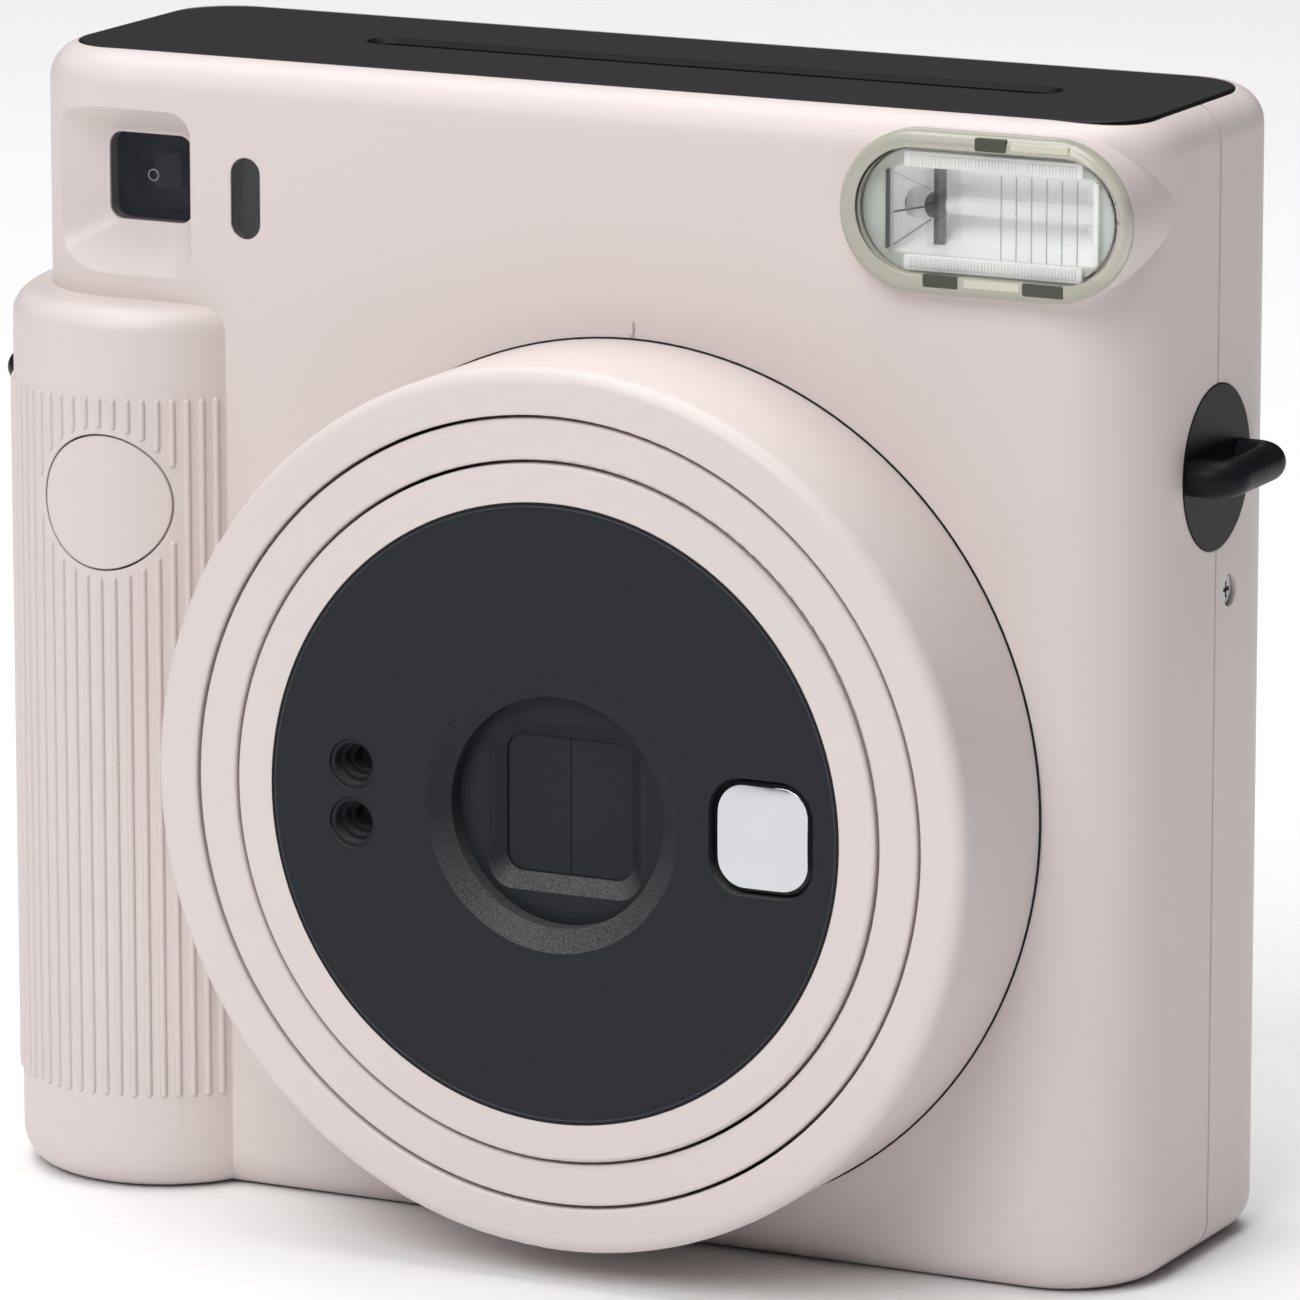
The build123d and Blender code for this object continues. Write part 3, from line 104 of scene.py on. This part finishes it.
# ---- materials ----------------------------------------------------------------------
class Material:
    """A node material under construction: a Principled shader fed by procedural textures."""

    def __init__(self, name, **sockets):
        self.material = bpy.data.materials.new(name)
        self.material.use_nodes = True
        self.tree = self.material.node_tree
        self.shader = self.tree.nodes["Principled BSDF"]
        self.coords = self.tree.nodes.new("ShaderNodeTexCoord").outputs["Object"]
        for socket, value in sockets.items():
            self.shader.inputs[socket.replace("_", " ")].default_value = value

    def node(self, kind, **settings):
        made = self.tree.nodes.new("ShaderNode" + kind)
        for key, value in settings.items():
            setattr(made, key, value)
        return made

    def link(self, source, target):
        self.tree.links.new(source, target)

    def noise(self, size, detail=2.0, rough=0.5):
        """Noise with features about that size in metres."""
        made = self.node("TexNoise")
        self.link(self.coords, made.inputs["Vector"])
        made.inputs["Scale"].default_value = 1.0 / size
        made.inputs["Detail"].default_value = detail
        made.inputs["Roughness"].default_value = rough
        return made.outputs["Fac"]

    def stadium(self, centre, run, radius, soft=0.0001, plane=(1, 0, 1)):
        """1 outside a slot-shaped outline along X in that plane, 0 inside it."""
        offset = self.node("VectorMath", operation="SUBTRACT")
        self.link(self.coords, offset.inputs[0])
        offset.inputs[1].default_value = centre
        size = self.node("VectorMath", operation="ABSOLUTE")
        self.link(offset.outputs["Vector"], size.inputs[0])
        beyond = self.node("VectorMath", operation="SUBTRACT")
        self.link(size.outputs["Vector"], beyond.inputs[0])
        beyond.inputs[1].default_value = (run, 0, 0)
        outer = self.node("VectorMath", operation="MAXIMUM")
        self.link(beyond.outputs["Vector"], outer.inputs[0])
        flat = self.node("VectorMath", operation="MULTIPLY")
        self.link(outer.outputs["Vector"], flat.inputs[0])
        flat.inputs[1].default_value = plane
        length = self.node("VectorMath", operation="LENGTH")
        self.link(flat.outputs["Vector"], length.inputs[0])
        made = self.node("MapRange")
        self.link(length.outputs["Value"], made.inputs["Value"])
        made.inputs["From Min"].default_value = radius - soft
        made.inputs["From Max"].default_value = radius + soft
        return made.outputs["Result"]

    def between(self, factor, low, high):
        """A number that goes from low to high with the factor."""
        made = self.node("MapRange")
        self.link(factor, made.inputs["Value"])
        made.inputs["To Min"].default_value = low
        made.inputs["To Max"].default_value = high
        return made.outputs["Result"]

    def mix(self, factor, first, second):
        """A colour between two colours."""
        made = self.node("Mix", data_type="RGBA")
        self.link(factor, made.inputs["Factor"])
        for socket, value in ((made.inputs[6], first), (made.inputs[7], second)):
            if isinstance(value, tuple):
                socket.default_value = (*value, 1)
            else:
                self.link(value, socket)
        return made.outputs[2]

    def facing(self, axis, low, high):
        """1 where the surface's normal lies along the axis, 0 where it is turned away from it."""
        geometry = self.node("NewGeometry")
        dot = self.node("VectorMath", operation="DOT_PRODUCT")
        self.link(geometry.outputs["True Normal"], dot.inputs[0])
        dot.inputs[1].default_value = axis
        made = self.node("MapRange")
        self.link(dot.outputs["Value"], made.inputs["Value"])
        made.inputs["From Min"].default_value = low
        made.inputs["From Max"].default_value = high
        return made.outputs["Result"]

    def colour(self, socket):
        self.link(socket, self.shader.inputs["Base Color"])

    def roughness(self, socket):
        self.link(socket, self.shader.inputs["Roughness"])

    def bump(self, height, depth, strength=1.0, edge=0.0):
        """Relief of that depth in metres, and edges softened by that radius."""
        made = self.node("Bump")
        made.inputs["Distance"].default_value = depth
        if isinstance(strength, float):
            made.inputs["Strength"].default_value = strength
        else:
            self.link(strength, made.inputs["Strength"])
        self.link(height, made.inputs["Height"])
        if edge:
            bevel = self.node("Bevel", samples=4)
            bevel.inputs["Radius"].default_value = edge
            self.link(bevel.outputs["Normal"], made.inputs["Normal"])
        self.link(made.outputs["Normal"], self.shader.inputs["Normal"])


def moulded(name, colour, rough, grain, depth, speckle=0.03, edge=0.00015, **sockets):
    """Moulded plastic: a fine texture, faint uneven colour and uneven gloss."""
    made = Material(name, **sockets)
    fine = made.noise(grain, 3.0, 0.6)
    broad = made.noise(0.018, 2.0)
    dark = tuple(c * (1 - speckle) for c in colour)
    light = tuple(min(1.0, c * (1 + speckle)) for c in colour)
    made.colour(made.mix(broad, dark, light))
    made.roughness(made.between(made.noise(grain * 6), rough - 0.04, rough + 0.05))
    made.bump(fine, depth, 0.6, edge)
    return made.material


def sparkle_with_painted_glints(name, colour, painted_glint_colour, rough):
    """Black plastic that is smooth where it faces front and coarse on its slopes; its real grain gets
    a painted highlight, glints painted only where the surface turns up to the lamps.
    """
    made = Material(name, Specular_IOR_Level=0.14)
    flat = made.facing((0, -1, 0), 0.90, 0.985)
    slope = made.node("Math", operation="SUBTRACT")
    slope.inputs[0].default_value = 1.0
    made.link(flat, slope.inputs[1])
    coarse = made.noise(0.00013, 2.0, 0.7)
    grains = made.between(coarse, -1.2, 2.2)
    # painted highlight: the grains take the glint colour only where the surface faces up, towards the
    # lamps
    painted_glint_mask = made.node("Math", operation="MULTIPLY", use_clamp=True)
    made.link(grains, painted_glint_mask.inputs[0])
    made.link(made.facing((0, 0, 1), 0.02, 0.55), painted_glint_mask.inputs[1])
    made.colour(made.mix(painted_glint_mask.outputs[0], colour, painted_glint_colour))
    made.roughness(made.between(made.noise(0.0011), rough - 0.04, rough + 0.04))
    made.bump(coarse, 0.00003, made.between(slope.outputs[0], 0.06, 0.8), 0.00012)
    return made.material


def panel_black(name, colour, rough, grain, depth, speckle, **sockets):
    """Grained black plastic with painted shade: nearly black on its steep walls and in a slot-shaped
    patch round the film slot, so that the slot reads as deep.
    """
    made = Material(name, **sockets)
    dark = tuple(c * (1 - speckle) for c in colour)
    light = tuple(c * (1 + speckle) for c in colour)
    low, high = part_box("exit_flap")
    # painted shade: a slot-shaped patch round the film slot is painted near black
    slot = made.stadium((low + high) / 2, SLOT_LENGTH / 2 - SLOT_SHADE_HALF_WIDTH, SLOT_SHADE_HALF_WIDTH, 0.0002, (1, 1, 0))
    face = made.mix(slot, (0.006, 0.006, 0.007), made.mix(made.noise(grain * 2), dark, light))
    # painted shade: faces that do not turn up to the lamps are painted nearly black
    made.colour(made.mix(made.facing((0, 0, 1), 0.55, 0.95), (0.0025, 0.0025, 0.003), face))
    made.roughness(made.between(made.noise(grain * 6), rough - 0.04, rough + 0.05))
    made.bump(made.noise(grain, 3.0, 0.6), depth, 0.6)
    return made.material


def milky_rim(name, centre, run, radius, tint, milk):
    """Clear plastic whose rim, outside a slot-shaped outline, is cloudy."""
    made = Material(name, IOR=1.49)
    rim = made.stadium(centre, run, radius)
    cloud = made.mix(made.noise(0.004), tuple(c * 0.93 for c in milk), milk)
    made.colour(made.mix(rim, tint, cloud))
    made.roughness(made.between(rim, 0.004, 0.22))
    made.link(made.between(rim, 1.0, 0.35), made.shader.inputs["Transmission Weight"])
    made.link(made.between(rim, 0.08, 1.0), made.shader.inputs["Alpha"])
    return made.material


def metal(name, colour, rough, grain=0.0002, depth=0.000002):
    made = Material(name, Metallic=1.0)
    made.colour(made.mix(made.noise(0.004), tuple(c * 0.93 for c in colour), colour))
    made.roughness(made.between(made.noise(grain * 4), rough * 0.8, rough * 1.25))
    made.bump(made.noise(grain), depth, 0.5, 0.00008)
    return made.material


def clear(name, tint, rough=0.02, ior=1.49, grain=0.0004, depth=0.000004, alpha=1.0):
    """Clear moulded plastic with the faintest orange peel."""
    made = Material(name, Transmission_Weight=1.0, IOR=ior, Alpha=alpha)
    made.colour(made.mix(made.noise(0.006), tuple(c * 0.985 for c in tint), tint))
    made.roughness(made.between(made.noise(grain * 3), rough * 0.6, rough * 1.4))
    made.bump(made.noise(grain), depth, 0.4)
    return made.material


BEIGE = (0.735, 0.655, 0.640)
CHARCOAL = (0.0265, 0.026, 0.0275)
SLATE = (0.0205, 0.0235, 0.0285)

LOOKS = {
    "beige": moulded("beige_plastic", BEIGE, 0.42, 0.00022, 0.000007, 0.012, 0.00025,
                     Coat_Weight=0.06, Coat_Roughness=0.35),
    "panel": panel_black("top_panel_grain_and_painted_shade", CHARCOAL, 0.50, 0.00030, 0.00002, 0.18,
                         Specular_IOR_Level=0.16),
    # the slate's second colour is the painted highlight of its glints
    "slate": sparkle_with_painted_glints("slate_plastic", SLATE, (0.16, 0.15, 0.155), 0.46),
    "lug": moulded("lug_plastic", (0.0105, 0.0098, 0.0130), 0.40, 0.00026, 0.000012, 0.06, 0.0002,
                   Specular_IOR_Level=0.10),
    "inner": moulded("inner_black", (0.010, 0.010, 0.011), 0.55, 0.00025, 0.00001, 0.05,
                     Specular_IOR_Level=0.2),
    "lens": clear("lens_glass", (0.93, 0.96, 0.98), 0.005, 1.55, 0.001, 0.000001),
    "smoke": clear("smoked_pane", (0.30, 0.33, 0.37), 0.03),
    "mirror": metal("mirror", (0.62, 0.635, 0.665), 0.03, 0.003, 0.000001),
    "tinted": moulded("tinted_pane", (0.017, 0.020, 0.030), 0.05, 0.004, 0.0000005, 0.05,
                      Specular_IOR_Level=0.22, Alpha=0.45),
    "pane": clear("clear_pane", (0.97, 0.985, 0.975), 0.004, 1.49, 0.003, 0.0000005, 0.08),
    # painted light: the trough glows faintly white, though it is no lamp, to lift its shaded walls
    "trough": moulded("polished_trough_painted_glow", (0.98, 0.985, 0.98), 0.25, 0.0008, 0.000006, 0.02,
                      Metallic=0.05, Emission_Strength=0.07),
    "frosted": moulded("frosted_plate", (0.62, 0.66, 0.62), 0.45, 0.00012, 0.00002, 0.14),
    "white_clear": moulded("ribbed_band", (0.98, 0.985, 0.97), 0.20, 0.0004, 0.000004, 0.03),
    "pale": moulded("pale_slot", (0.66, 0.64, 0.53), 0.35, 0.0004, 0.000004, 0.10),
    "olive": moulded("clip_plastic", (0.060, 0.062, 0.044), 0.35, 0.0003, 0.000006, 0.2),
    "light_grey": moulded("fine_ridge", (0.36, 0.38, 0.38), 0.30, 0.0003, 0.000004, 0.05),
    "grey": moulded("grey_plastic", (0.16, 0.17, 0.19), 0.30, 0.0003, 0.000004, 0.05),
    "edge": moulded("disc_edge", (0.055, 0.059, 0.066), 0.40, 0.0003, 0.000004, 0.05),
    "dark": moulded("dark_strap", (0.030, 0.034, 0.040), 0.35, 0.0003, 0.000004, 0.05),
    "mark": moulded("white_mark", (0.62, 0.64, 0.68), 0.40, 0.0003, 0.000004, 0.03),
    "steel": metal("steel", (0.55, 0.55, 0.56), 0.30),
    "rubber": moulded("rubber", (0.02, 0.02, 0.02), 0.7, 0.0003, 0.00002, 0.08),
    "gear": moulded("gear_plastic", (0.78, 0.78, 0.72), 0.4, 0.0003, 0.000006),
    "board": moulded("board", (0.02, 0.10, 0.05), 0.35, 0.0005, 0.00001, 0.15),
    "chip": moulded("chip", (0.03, 0.03, 0.035), 0.5, 0.0004, 0.00001, 0.08),
    "cell": metal("cell_wrap", (0.35, 0.38, 0.42), 0.35),
}

WORN_BY = {
    "beige": "front_cover rear_cover film_door battery_door door_latch shutter_button lens_dial "
             "barrel_outer_stage barrel_inner_stage",
    "panel": "top_panel",
    "slate": "lens_panel lens_bezel lens_cover_left lens_cover_right sensor_sleeves",
    "lug": "strap_lug_right strap_lug_left eyepiece_frame",
    "inner": "exit_flap viewfinder_tube chassis light_tunnel lens_guide_tube lens_board shutter_case "
             "dial_retainer gear_plate roller_bracket battery_tray shutter_blade_left "
             "shutter_blade_right",
    "pane": "flash_diffuser",
    "white_clear": "flash_tube",
    "lens": "viewfinder_objective eyepiece_lens front_lens rear_lens",
    "smoke": "light_sensor_window door_windows",
    "tinted": "viewfinder_window",
    "mirror": "selfie_mirror",
    "trough": "flash_reflector",
    "steel": "drive_roller pinch_roller hinge_pins case_screws button_spring pressure_springs "
             "battery_contacts drive_motor",
    "rubber": "flash_holders",
    "gear": "roller_gear idler_gear motor_pinion",
    "board": "main_board switch_parts",
    "chip": "board_parts flash_capacitor",
    "cell": "battery_cells",
}


def wear(node, look):
    """Gives a CAD node a look and smooth shading with crisp edges."""
    mesh = NODES[node].data
    mesh.materials.clear()
    mesh.materials.append(LOOKS[look])
    mesh.shade_smooth()
    mesh.set_sharp_from_angle(angle=NODE_CREASE)


def dress():
    """Gives the CAD nodes their looks. The flash window's look is made in add_flash."""
    for look, nodes in WORN_BY.items():
        for name in nodes.split():
            wear(name, look)


# ---- pieces ---------------------------------------------------------------------------
def rounded(centre, width, height, radius, y, steps=8):
    """The points of a rounded rectangle in X and Z, at depth y."""
    points = []
    for quarter, (right, up) in enumerate(((1, 1), (-1, 1), (-1, -1), (1, -1))):
        corner_x = centre.x + right * (width / 2 - radius)
        corner_z = centre.z + up * (height / 2 - radius)
        for step in range(steps + 1):
            angle = math.radians(90) * (quarter + step / steps)
            points.append((corner_x + radius * math.cos(angle), y,
                           corner_z + radius * math.sin(angle)))
    return points


def add_piece(name, mesh, look, body="body", bevel=0.0):
    """A finished piece that moves with a body."""
    bmesh.ops.recalc_face_normals(mesh, faces=mesh.faces)
    data = bpy.data.meshes.new(name)
    mesh.to_mesh(data)
    mesh.free()
    data.materials.append(LOOKS[look])
    data.shade_smooth()
    data.set_sharp_from_angle(angle=PIECE_CREASE)
    piece = bpy.data.objects.new(name, data)
    scene.collection.objects.link(piece)
    if bevel:
        edge = piece.modifiers.new("edge", "BEVEL")
        edge.width = bevel
        edge.segments = 2
    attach(piece, body)
    return piece


def add_loops(mesh, loops, closed):
    """A skin over outlines of equal length: closed joins last to first, otherwise both are capped."""
    rows = [[mesh.verts.new(point) for point in loop] for loop in loops]
    pairs = list(zip(rows, rows[1:]))
    if closed:
        pairs.append((rows[-1], rows[0]))
    for first, second in pairs:
        for i in range(len(first)):
            mesh.faces.new((first[i - 1], first[i], second[i], second[i - 1]))
    if not closed:
        mesh.faces.new(rows[0])
        mesh.faces.new(rows[-1])


def add_turned(mesh, axis, profile, sides=24):
    """A body turned about an axis along X; the profile gives each station's x and radius."""
    turns = [math.radians(360) * k / sides for k in range(sides)]
    loops = [[(x, axis.y + radius * math.cos(a), axis.z + radius * math.sin(a)) for a in turns]
             for x, radius in profile]
    add_loops(mesh, loops, False)


def add_bar(mesh, centre, width, height, radius, back, front):
    """A rounded upright bar from one depth to another."""
    add_loops(mesh, [rounded(centre, width, height, radius, y, 3) for y in (back, front)], False)


def add_bars(name, bars, look, bevel=0.0):
    """A piece made of upright bars, each given as add_bar's values after the mesh."""
    mesh = bmesh.new()
    for bar in bars:
        add_bar(mesh, *bar)
    add_piece(name, mesh, look, bevel=bevel)


# ---- the flash ------------------------------------------------------------------------
OPTICS_SHIFT = 0.8 * MM      # the optics sit right of the flash window's middle
PLATE_THICKNESS = 0.4 * MM
HOLE_CORNER = 0.8 * MM       # corner radius of the plate's hole
BAND_HEIGHT = 1.6 * MM
RIB_PITCH = 0.36 * MM
RIB_RADIUS = 0.13 * MM
RIDGE_COUNT = 6
RIDGE_FIRST = 1.0            # mm right of the optics' middle
RIDGE_PITCH = 1.63           # mm
STRAP_SHIFT = 7.5 * MM       # the tube's strap, left of the optics' middle
TUBE_RADIUS = 0.95 * MM
CREASE_RADIUS = 0.09 * MM
CLIP_HEIGHT = 1.3 * MM
SLOT_HEIGHT = 0.8 * MM

# The tube's rubber end: x from the strap and radius, in mm.
TUBE_END = ((-1.4, 0.4), (-1.25, 0.9), (-0.9, 1.25), (-0.3, 1.35))
# The lines where the trough's walls meet, drawn as painted shade, darkest on the middle line: name,
# how far up or down they start, and look.
CREASES = (("upper", 0.8, "mark"), ("middle", -0.1, "dark"), ("lower", -0.85, "grey"))
# Blocks in the rim, in mm: x from the optics' middle, length, above (1) or below (-1), inset.
CLIPS = ((0.4, 3.4, 1, 0.85), (-4.9, 3.8, -1, 1.6), (6.1, 4.4, -1, 1.5))
SLOTS = ((5.6, 6.2, 1, 0.85), (0.6, 6.0, -1, 1.55))


class Flash:
    """The flash's looks, sized from its CAD nodes: the window, the plate, the trough, the tube."""

    def __init__(self):
        low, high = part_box("flash_window")
        self.centre = (low + high) / 2
        self.optics = self.centre + Vector((OPTICS_SHIFT, 0, 0))
        self.width, self.height, self.face = high.x - low.x, high.z - low.z, low.y
        plate_low, plate_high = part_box("flash_diffuser")
        self.plate_w, self.plate_h = plate_high.x - plate_low.x, plate_high.z - plate_low.z
        self.back, self.front = plate_high.y, plate_low.y
        self.middle = self.back - PLATE_THICKNESS
        trough_low, trough_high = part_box("flash_reflector")
        self.trough_w, self.trough_front = trough_high.x - trough_low.x, trough_low.y
        self.hole_w = self.trough_w - 0.8 * MM
        self.hole_h = trough_high.z - trough_low.z - 0.7 * MM
        tube_low, tube_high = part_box("flash_tube")
        self.axis = Vector((0, (tube_low.y + tube_high.y) / 2, (tube_low.z + tube_high.z) / 2))
        self.tube_end = tube_high.x
        self.strap_x = self.optics.x - STRAP_SHIFT

    def dress_rim(self):
        """The cap: clear in the middle, with a cloudy rim."""
        LOOKS["rim"] = milky_rim("cloudy_rim", self.centre + Vector((OPTICS_SHIFT, 0, 0.3 * MM)),
                                 (self.width - self.height) / 2 + 0.6 * MM, self.plate_h / 2,
                                 (0.97, 0.985, 0.97), (0.72, 0.70, 0.60))
        wear("flash_window", "rim")

    def add_plate(self):
        """The frosted plate, and the clear pane in its hole."""
        outline = (self.centre, self.plate_w, self.plate_h, self.plate_h / 2)
        hole = (self.optics, self.hole_w, self.hole_h, HOLE_CORNER)
        flange = bmesh.new()
        add_loops(flange, [
            rounded(*outline, self.back), rounded(*outline, self.middle),
            rounded(*hole, self.middle), rounded(*hole, self.back),
        ], True)
        piece = add_piece("flash_flange", flange, "frosted", bevel=0.08 * MM)
        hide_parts("flash_diffuser")
        add_bars("flash_pane", [
            (self.optics, self.hole_w + 0.3 * MM, self.hole_h + 0.2 * MM, HOLE_CORNER,
             self.middle - 0.25 * MM, self.middle - 0.75 * MM)], "pane")

    def add_bands(self):
        """The ribbed bands above and below the hole."""
        band_w = self.trough_w - 3.8 * MM
        count = int((band_w - 1.0 * MM) / RIB_PITCH)
        for name, side in (("upper", 1), ("lower", -1)):
            middle_z = self.centre.z + side * (self.hole_h / 2 + BAND_HEIGHT / 2)
            add_bars("flash_band_" + name, [
                (Vector((self.optics.x, 0, middle_z)), band_w, BAND_HEIGHT, 0.3 * MM,
                 self.middle, self.front + 0.1 * MM)], "white_clear", bevel=0.1 * MM)
            ribs = []
            for i in range(count):
                x = self.optics.x + (i - (count - 1) / 2) * RIB_PITCH
                ribs.append((Vector((x, 0, middle_z - side * 0.1 * MM)), 2 * RIB_RADIUS,
                             BAND_HEIGHT - 0.5 * MM, RIB_RADIUS * 0.9,
                             self.front + 0.2 * MM, self.front))
            add_bars("flash_ribs_" + name, ribs, "white_clear")

    def add_frame(self):
        """The thin bars at the left and right of the hole."""
        left = Vector((self.optics.x - self.hole_w / 2 - 0.3 * MM, 0, self.centre.z))
        right = Vector((self.optics.x + self.hole_w / 2, 0, self.centre.z))
        add_bars("flash_frame_left", [
            (left, 0.16 * MM, self.hole_h - 0.8 * MM, 0.07 * MM, self.middle, self.front)], "dark")
        add_bars("flash_frame_right", [
            (right, 0.5 * MM, self.hole_h - 0.4 * MM, 0.2 * MM, self.middle, self.front)],
            "white_clear")

    def add_ridges(self):
        """The fine upright ridges in the right half of the pane."""
        ridges = []
        for i in range(RIDGE_COUNT):
            x = self.optics.x + (RIDGE_FIRST + RIDGE_PITCH * i) * MM
            ridges.append((Vector((x, 0, self.centre.z)), 0.07 * MM, self.hole_h - 0.3 * MM,
                           0.03 * MM, self.middle - 0.7 * MM, self.middle - 0.8 * MM))
        add_bars("flash_ridges", ridges, "light_grey")

    def add_tube(self):
        """The strap, the tube that it holds and the tube's rubber end."""
        add_bars("flash_strap", [
            (Vector((self.strap_x, 0, self.centre.z - 0.3 * MM)), 1.2 * MM,
             self.hole_h - 0.4 * MM, 0.3 * MM,
             self.trough_front + 3.4 * MM, self.trough_front + 2.8 * MM)],
            "dark", 0.1 * MM)
        tube = bmesh.new()
        add_turned(tube, self.axis, [
            (self.strap_x, TUBE_RADIUS), (self.tube_end - 0.5 * MM, TUBE_RADIUS),
            (self.tube_end, 0.6 * MM)])
        # painted reflection: the clear glass tube is drawn opaque white, standing for its bright
        # reflections
        piece = add_piece("flash_tube_painted_reflection", tube, "white_clear")
        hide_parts("flash_tube")
        end = bmesh.new()
        add_turned(end, self.axis - Vector((0, 1.0 * MM, 0)), [
            (self.strap_x + x * MM, radius * MM) for x, radius in TUBE_END])
        add_piece("flash_tube_end", end, "dark")

    def add_creases(self):
        """The lines from the hole's left edge to the tube's end, where the trough's walls meet: thin
        tubes of painted shade.
        """
        turns = [math.radians(45 * k) for k in range(8)]
        for name, rise, look in CREASES:
            start = Vector((self.optics.x - self.hole_w / 2, self.middle + 0.5 * MM,
                            self.centre.z + rise * self.hole_h / 2))
            stop = Vector((self.strap_x - 1.1 * MM, self.axis.y - 0.6 * MM,
                           self.axis.z + rise * 1.8 * MM))
            loops = [[(at.x, at.y + CREASE_RADIUS * math.cos(a), at.z + CREASE_RADIUS * math.sin(a))
                      for a in turns] for at in (start, stop)]
            crease = bmesh.new()
            add_loops(crease, loops, False)
            add_piece("flash_crease_" + name, crease, look)

    def add_blocks(self, name, blocks, height, look):
        """Blocks set into the rim, just proud of the cap's front."""
        bars = []
        for x, length, side, inset in blocks:
            at = Vector((self.optics.x + x * MM, 0,
                         self.centre.z + side * (self.height / 2 - inset * MM)))
            bars.append((at, length * MM, height, 0.2 * MM,
                         self.face + 0.6 * MM, self.face - 0.03 * MM))
        add_bars(name, bars, look, bevel=0.05 * MM)


def add_flash():
    flash = Flash()
    flash.dress_rim()
    flash.add_plate()
    flash.add_bands()
    flash.add_frame()
    flash.add_ridges()
    flash.add_tube()
    flash.add_creases()
    flash.add_blocks("flash_clips", CLIPS, CLIP_HEIGHT, "olive")
    flash.add_blocks("flash_slots", SLOTS, SLOT_HEIGHT, "pale")


# ---- the finder and the joint lines ---------------------------------------------------
# The barrel's outlines in mm: width, height and depth behind the pane.
BARREL = ((3.2, 4.0, 2.6), (3.2, 4.0, 1.2), (2.6, 3.4, 1.0))
RING_RADIUS = 0.58      # mm, the ring mark on the pane
WIRE_RADIUS = 0.05      # mm, of the ring's round section


def add_finder():
    """What shows in the viewfinder's pane: a square barrel behind it and a ring mark on it."""
    low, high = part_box("viewfinder_window")
    centre = (low + high) / 2
    at = Vector((centre.x + 0.5 * MM, 0, centre.z + 0.3 * MM))
    barrel = bmesh.new()
    add_loops(barrel, [
        rounded(at, width * MM, height * MM, 0.7 * MM, high.y + depth * MM)
        for width, height, depth in BARREL
    ], False)
    add_piece("finder_barrel", barrel, "grey")
    turns, sides = 32, 8
    middle_x, middle_z = at.x - 0.4 * MM, at.z - 0.1 * MM
    loops = []
    for k in range(turns):
        a = 2 * math.pi * k / turns
        loops.append([
            (middle_x + math.cos(a) * (RING_RADIUS + WIRE_RADIUS * math.cos(b)) * MM,
             low.y + (0.04 + WIRE_RADIUS * math.sin(b)) * MM,
             middle_z + math.sin(a) * (RING_RADIUS + WIRE_RADIUS * math.cos(b)) * MM)
            for b in (2 * math.pi * j / sides for j in range(sides))
        ])
    ring = bmesh.new()
    add_loops(ring, loops, True)
    add_piece("finder_ring", ring, "mark")


def add_ring(name, node, profile, look, body="body"):
    """A ring round a round node; the profile gives (beyond the node's radius, y) pairs."""
    low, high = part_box(node)
    centre, radius = (low + high) / 2, (high.x - low.x) / 2
    turns = [math.radians(2.5) * k for k in range(144)]
    loops = [[(centre.x + (radius + grow) * math.cos(a), y, centre.z + (radius + grow) * math.sin(a))
              for a in turns] for grow, y in profile]
    ring = bmesh.new()
    add_loops(ring, loops, True)
    add_piece(name, ring, look, body)


def add_joint_lines():
    """The dark joint lines round the dial and the black disc, and the disc's lighter edge."""
    add_ring("dial_gap", "lens_dial", [
        (0.18 * MM, FACE - 0.01 * MM), (0.10 * MM, FACE - 0.12 * MM),
        (-0.60 * MM, FACE - 0.12 * MM), (-0.60 * MM, FACE - 0.01 * MM)], "inner")
    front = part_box("lens_panel")[0].y
    add_ring("disc_gap", "lens_panel", [
        (0.14 * MM, front + 0.30 * MM), (0.14 * MM, front - 0.02 * MM),
        (-0.06 * MM, front - 0.02 * MM), (-0.06 * MM, front + 0.30 * MM)], "inner", "barrel_inner")
    add_ring("disc_edge", "lens_panel", [
        (-0.20 * MM, front + 0.20 * MM), (-0.24 * MM, front - 0.03 * MM),
        (-0.32 * MM, front - 0.03 * MM), (-0.36 * MM, front + 0.20 * MM)], "edge", "barrel_inner")


# ---- floor --------------------------------------------------------------------------
def add_floor():
    mesh = bpy.data.meshes.new("floor")
    half = 6.0
    corners = [(-half, -half, 0), (half, -half, 0), (half, half, 0), (-half, half, 0)]
    mesh.from_pydata(corners, [], [(0, 1, 2, 3)])
    floor = bpy.data.objects.new("floor", mesh)
    scene.collection.objects.link(floor)
    paper = Material("paper", Roughness=0.9)
    paper.colour(paper.mix(paper.noise(0.3), (0.955, 0.955, 0.955), (0.97, 0.97, 0.97)))
    mesh.materials.append(paper.material)


add_camera()
add_world(AMBIENT)
add_light("front", (-0.15, -2.0, 2.0), 49)
add_light("top", (-0.2, 0.2, 2.0), 39)
add_floor()
dress()
add_flash()
add_finder()
add_joint_lines()
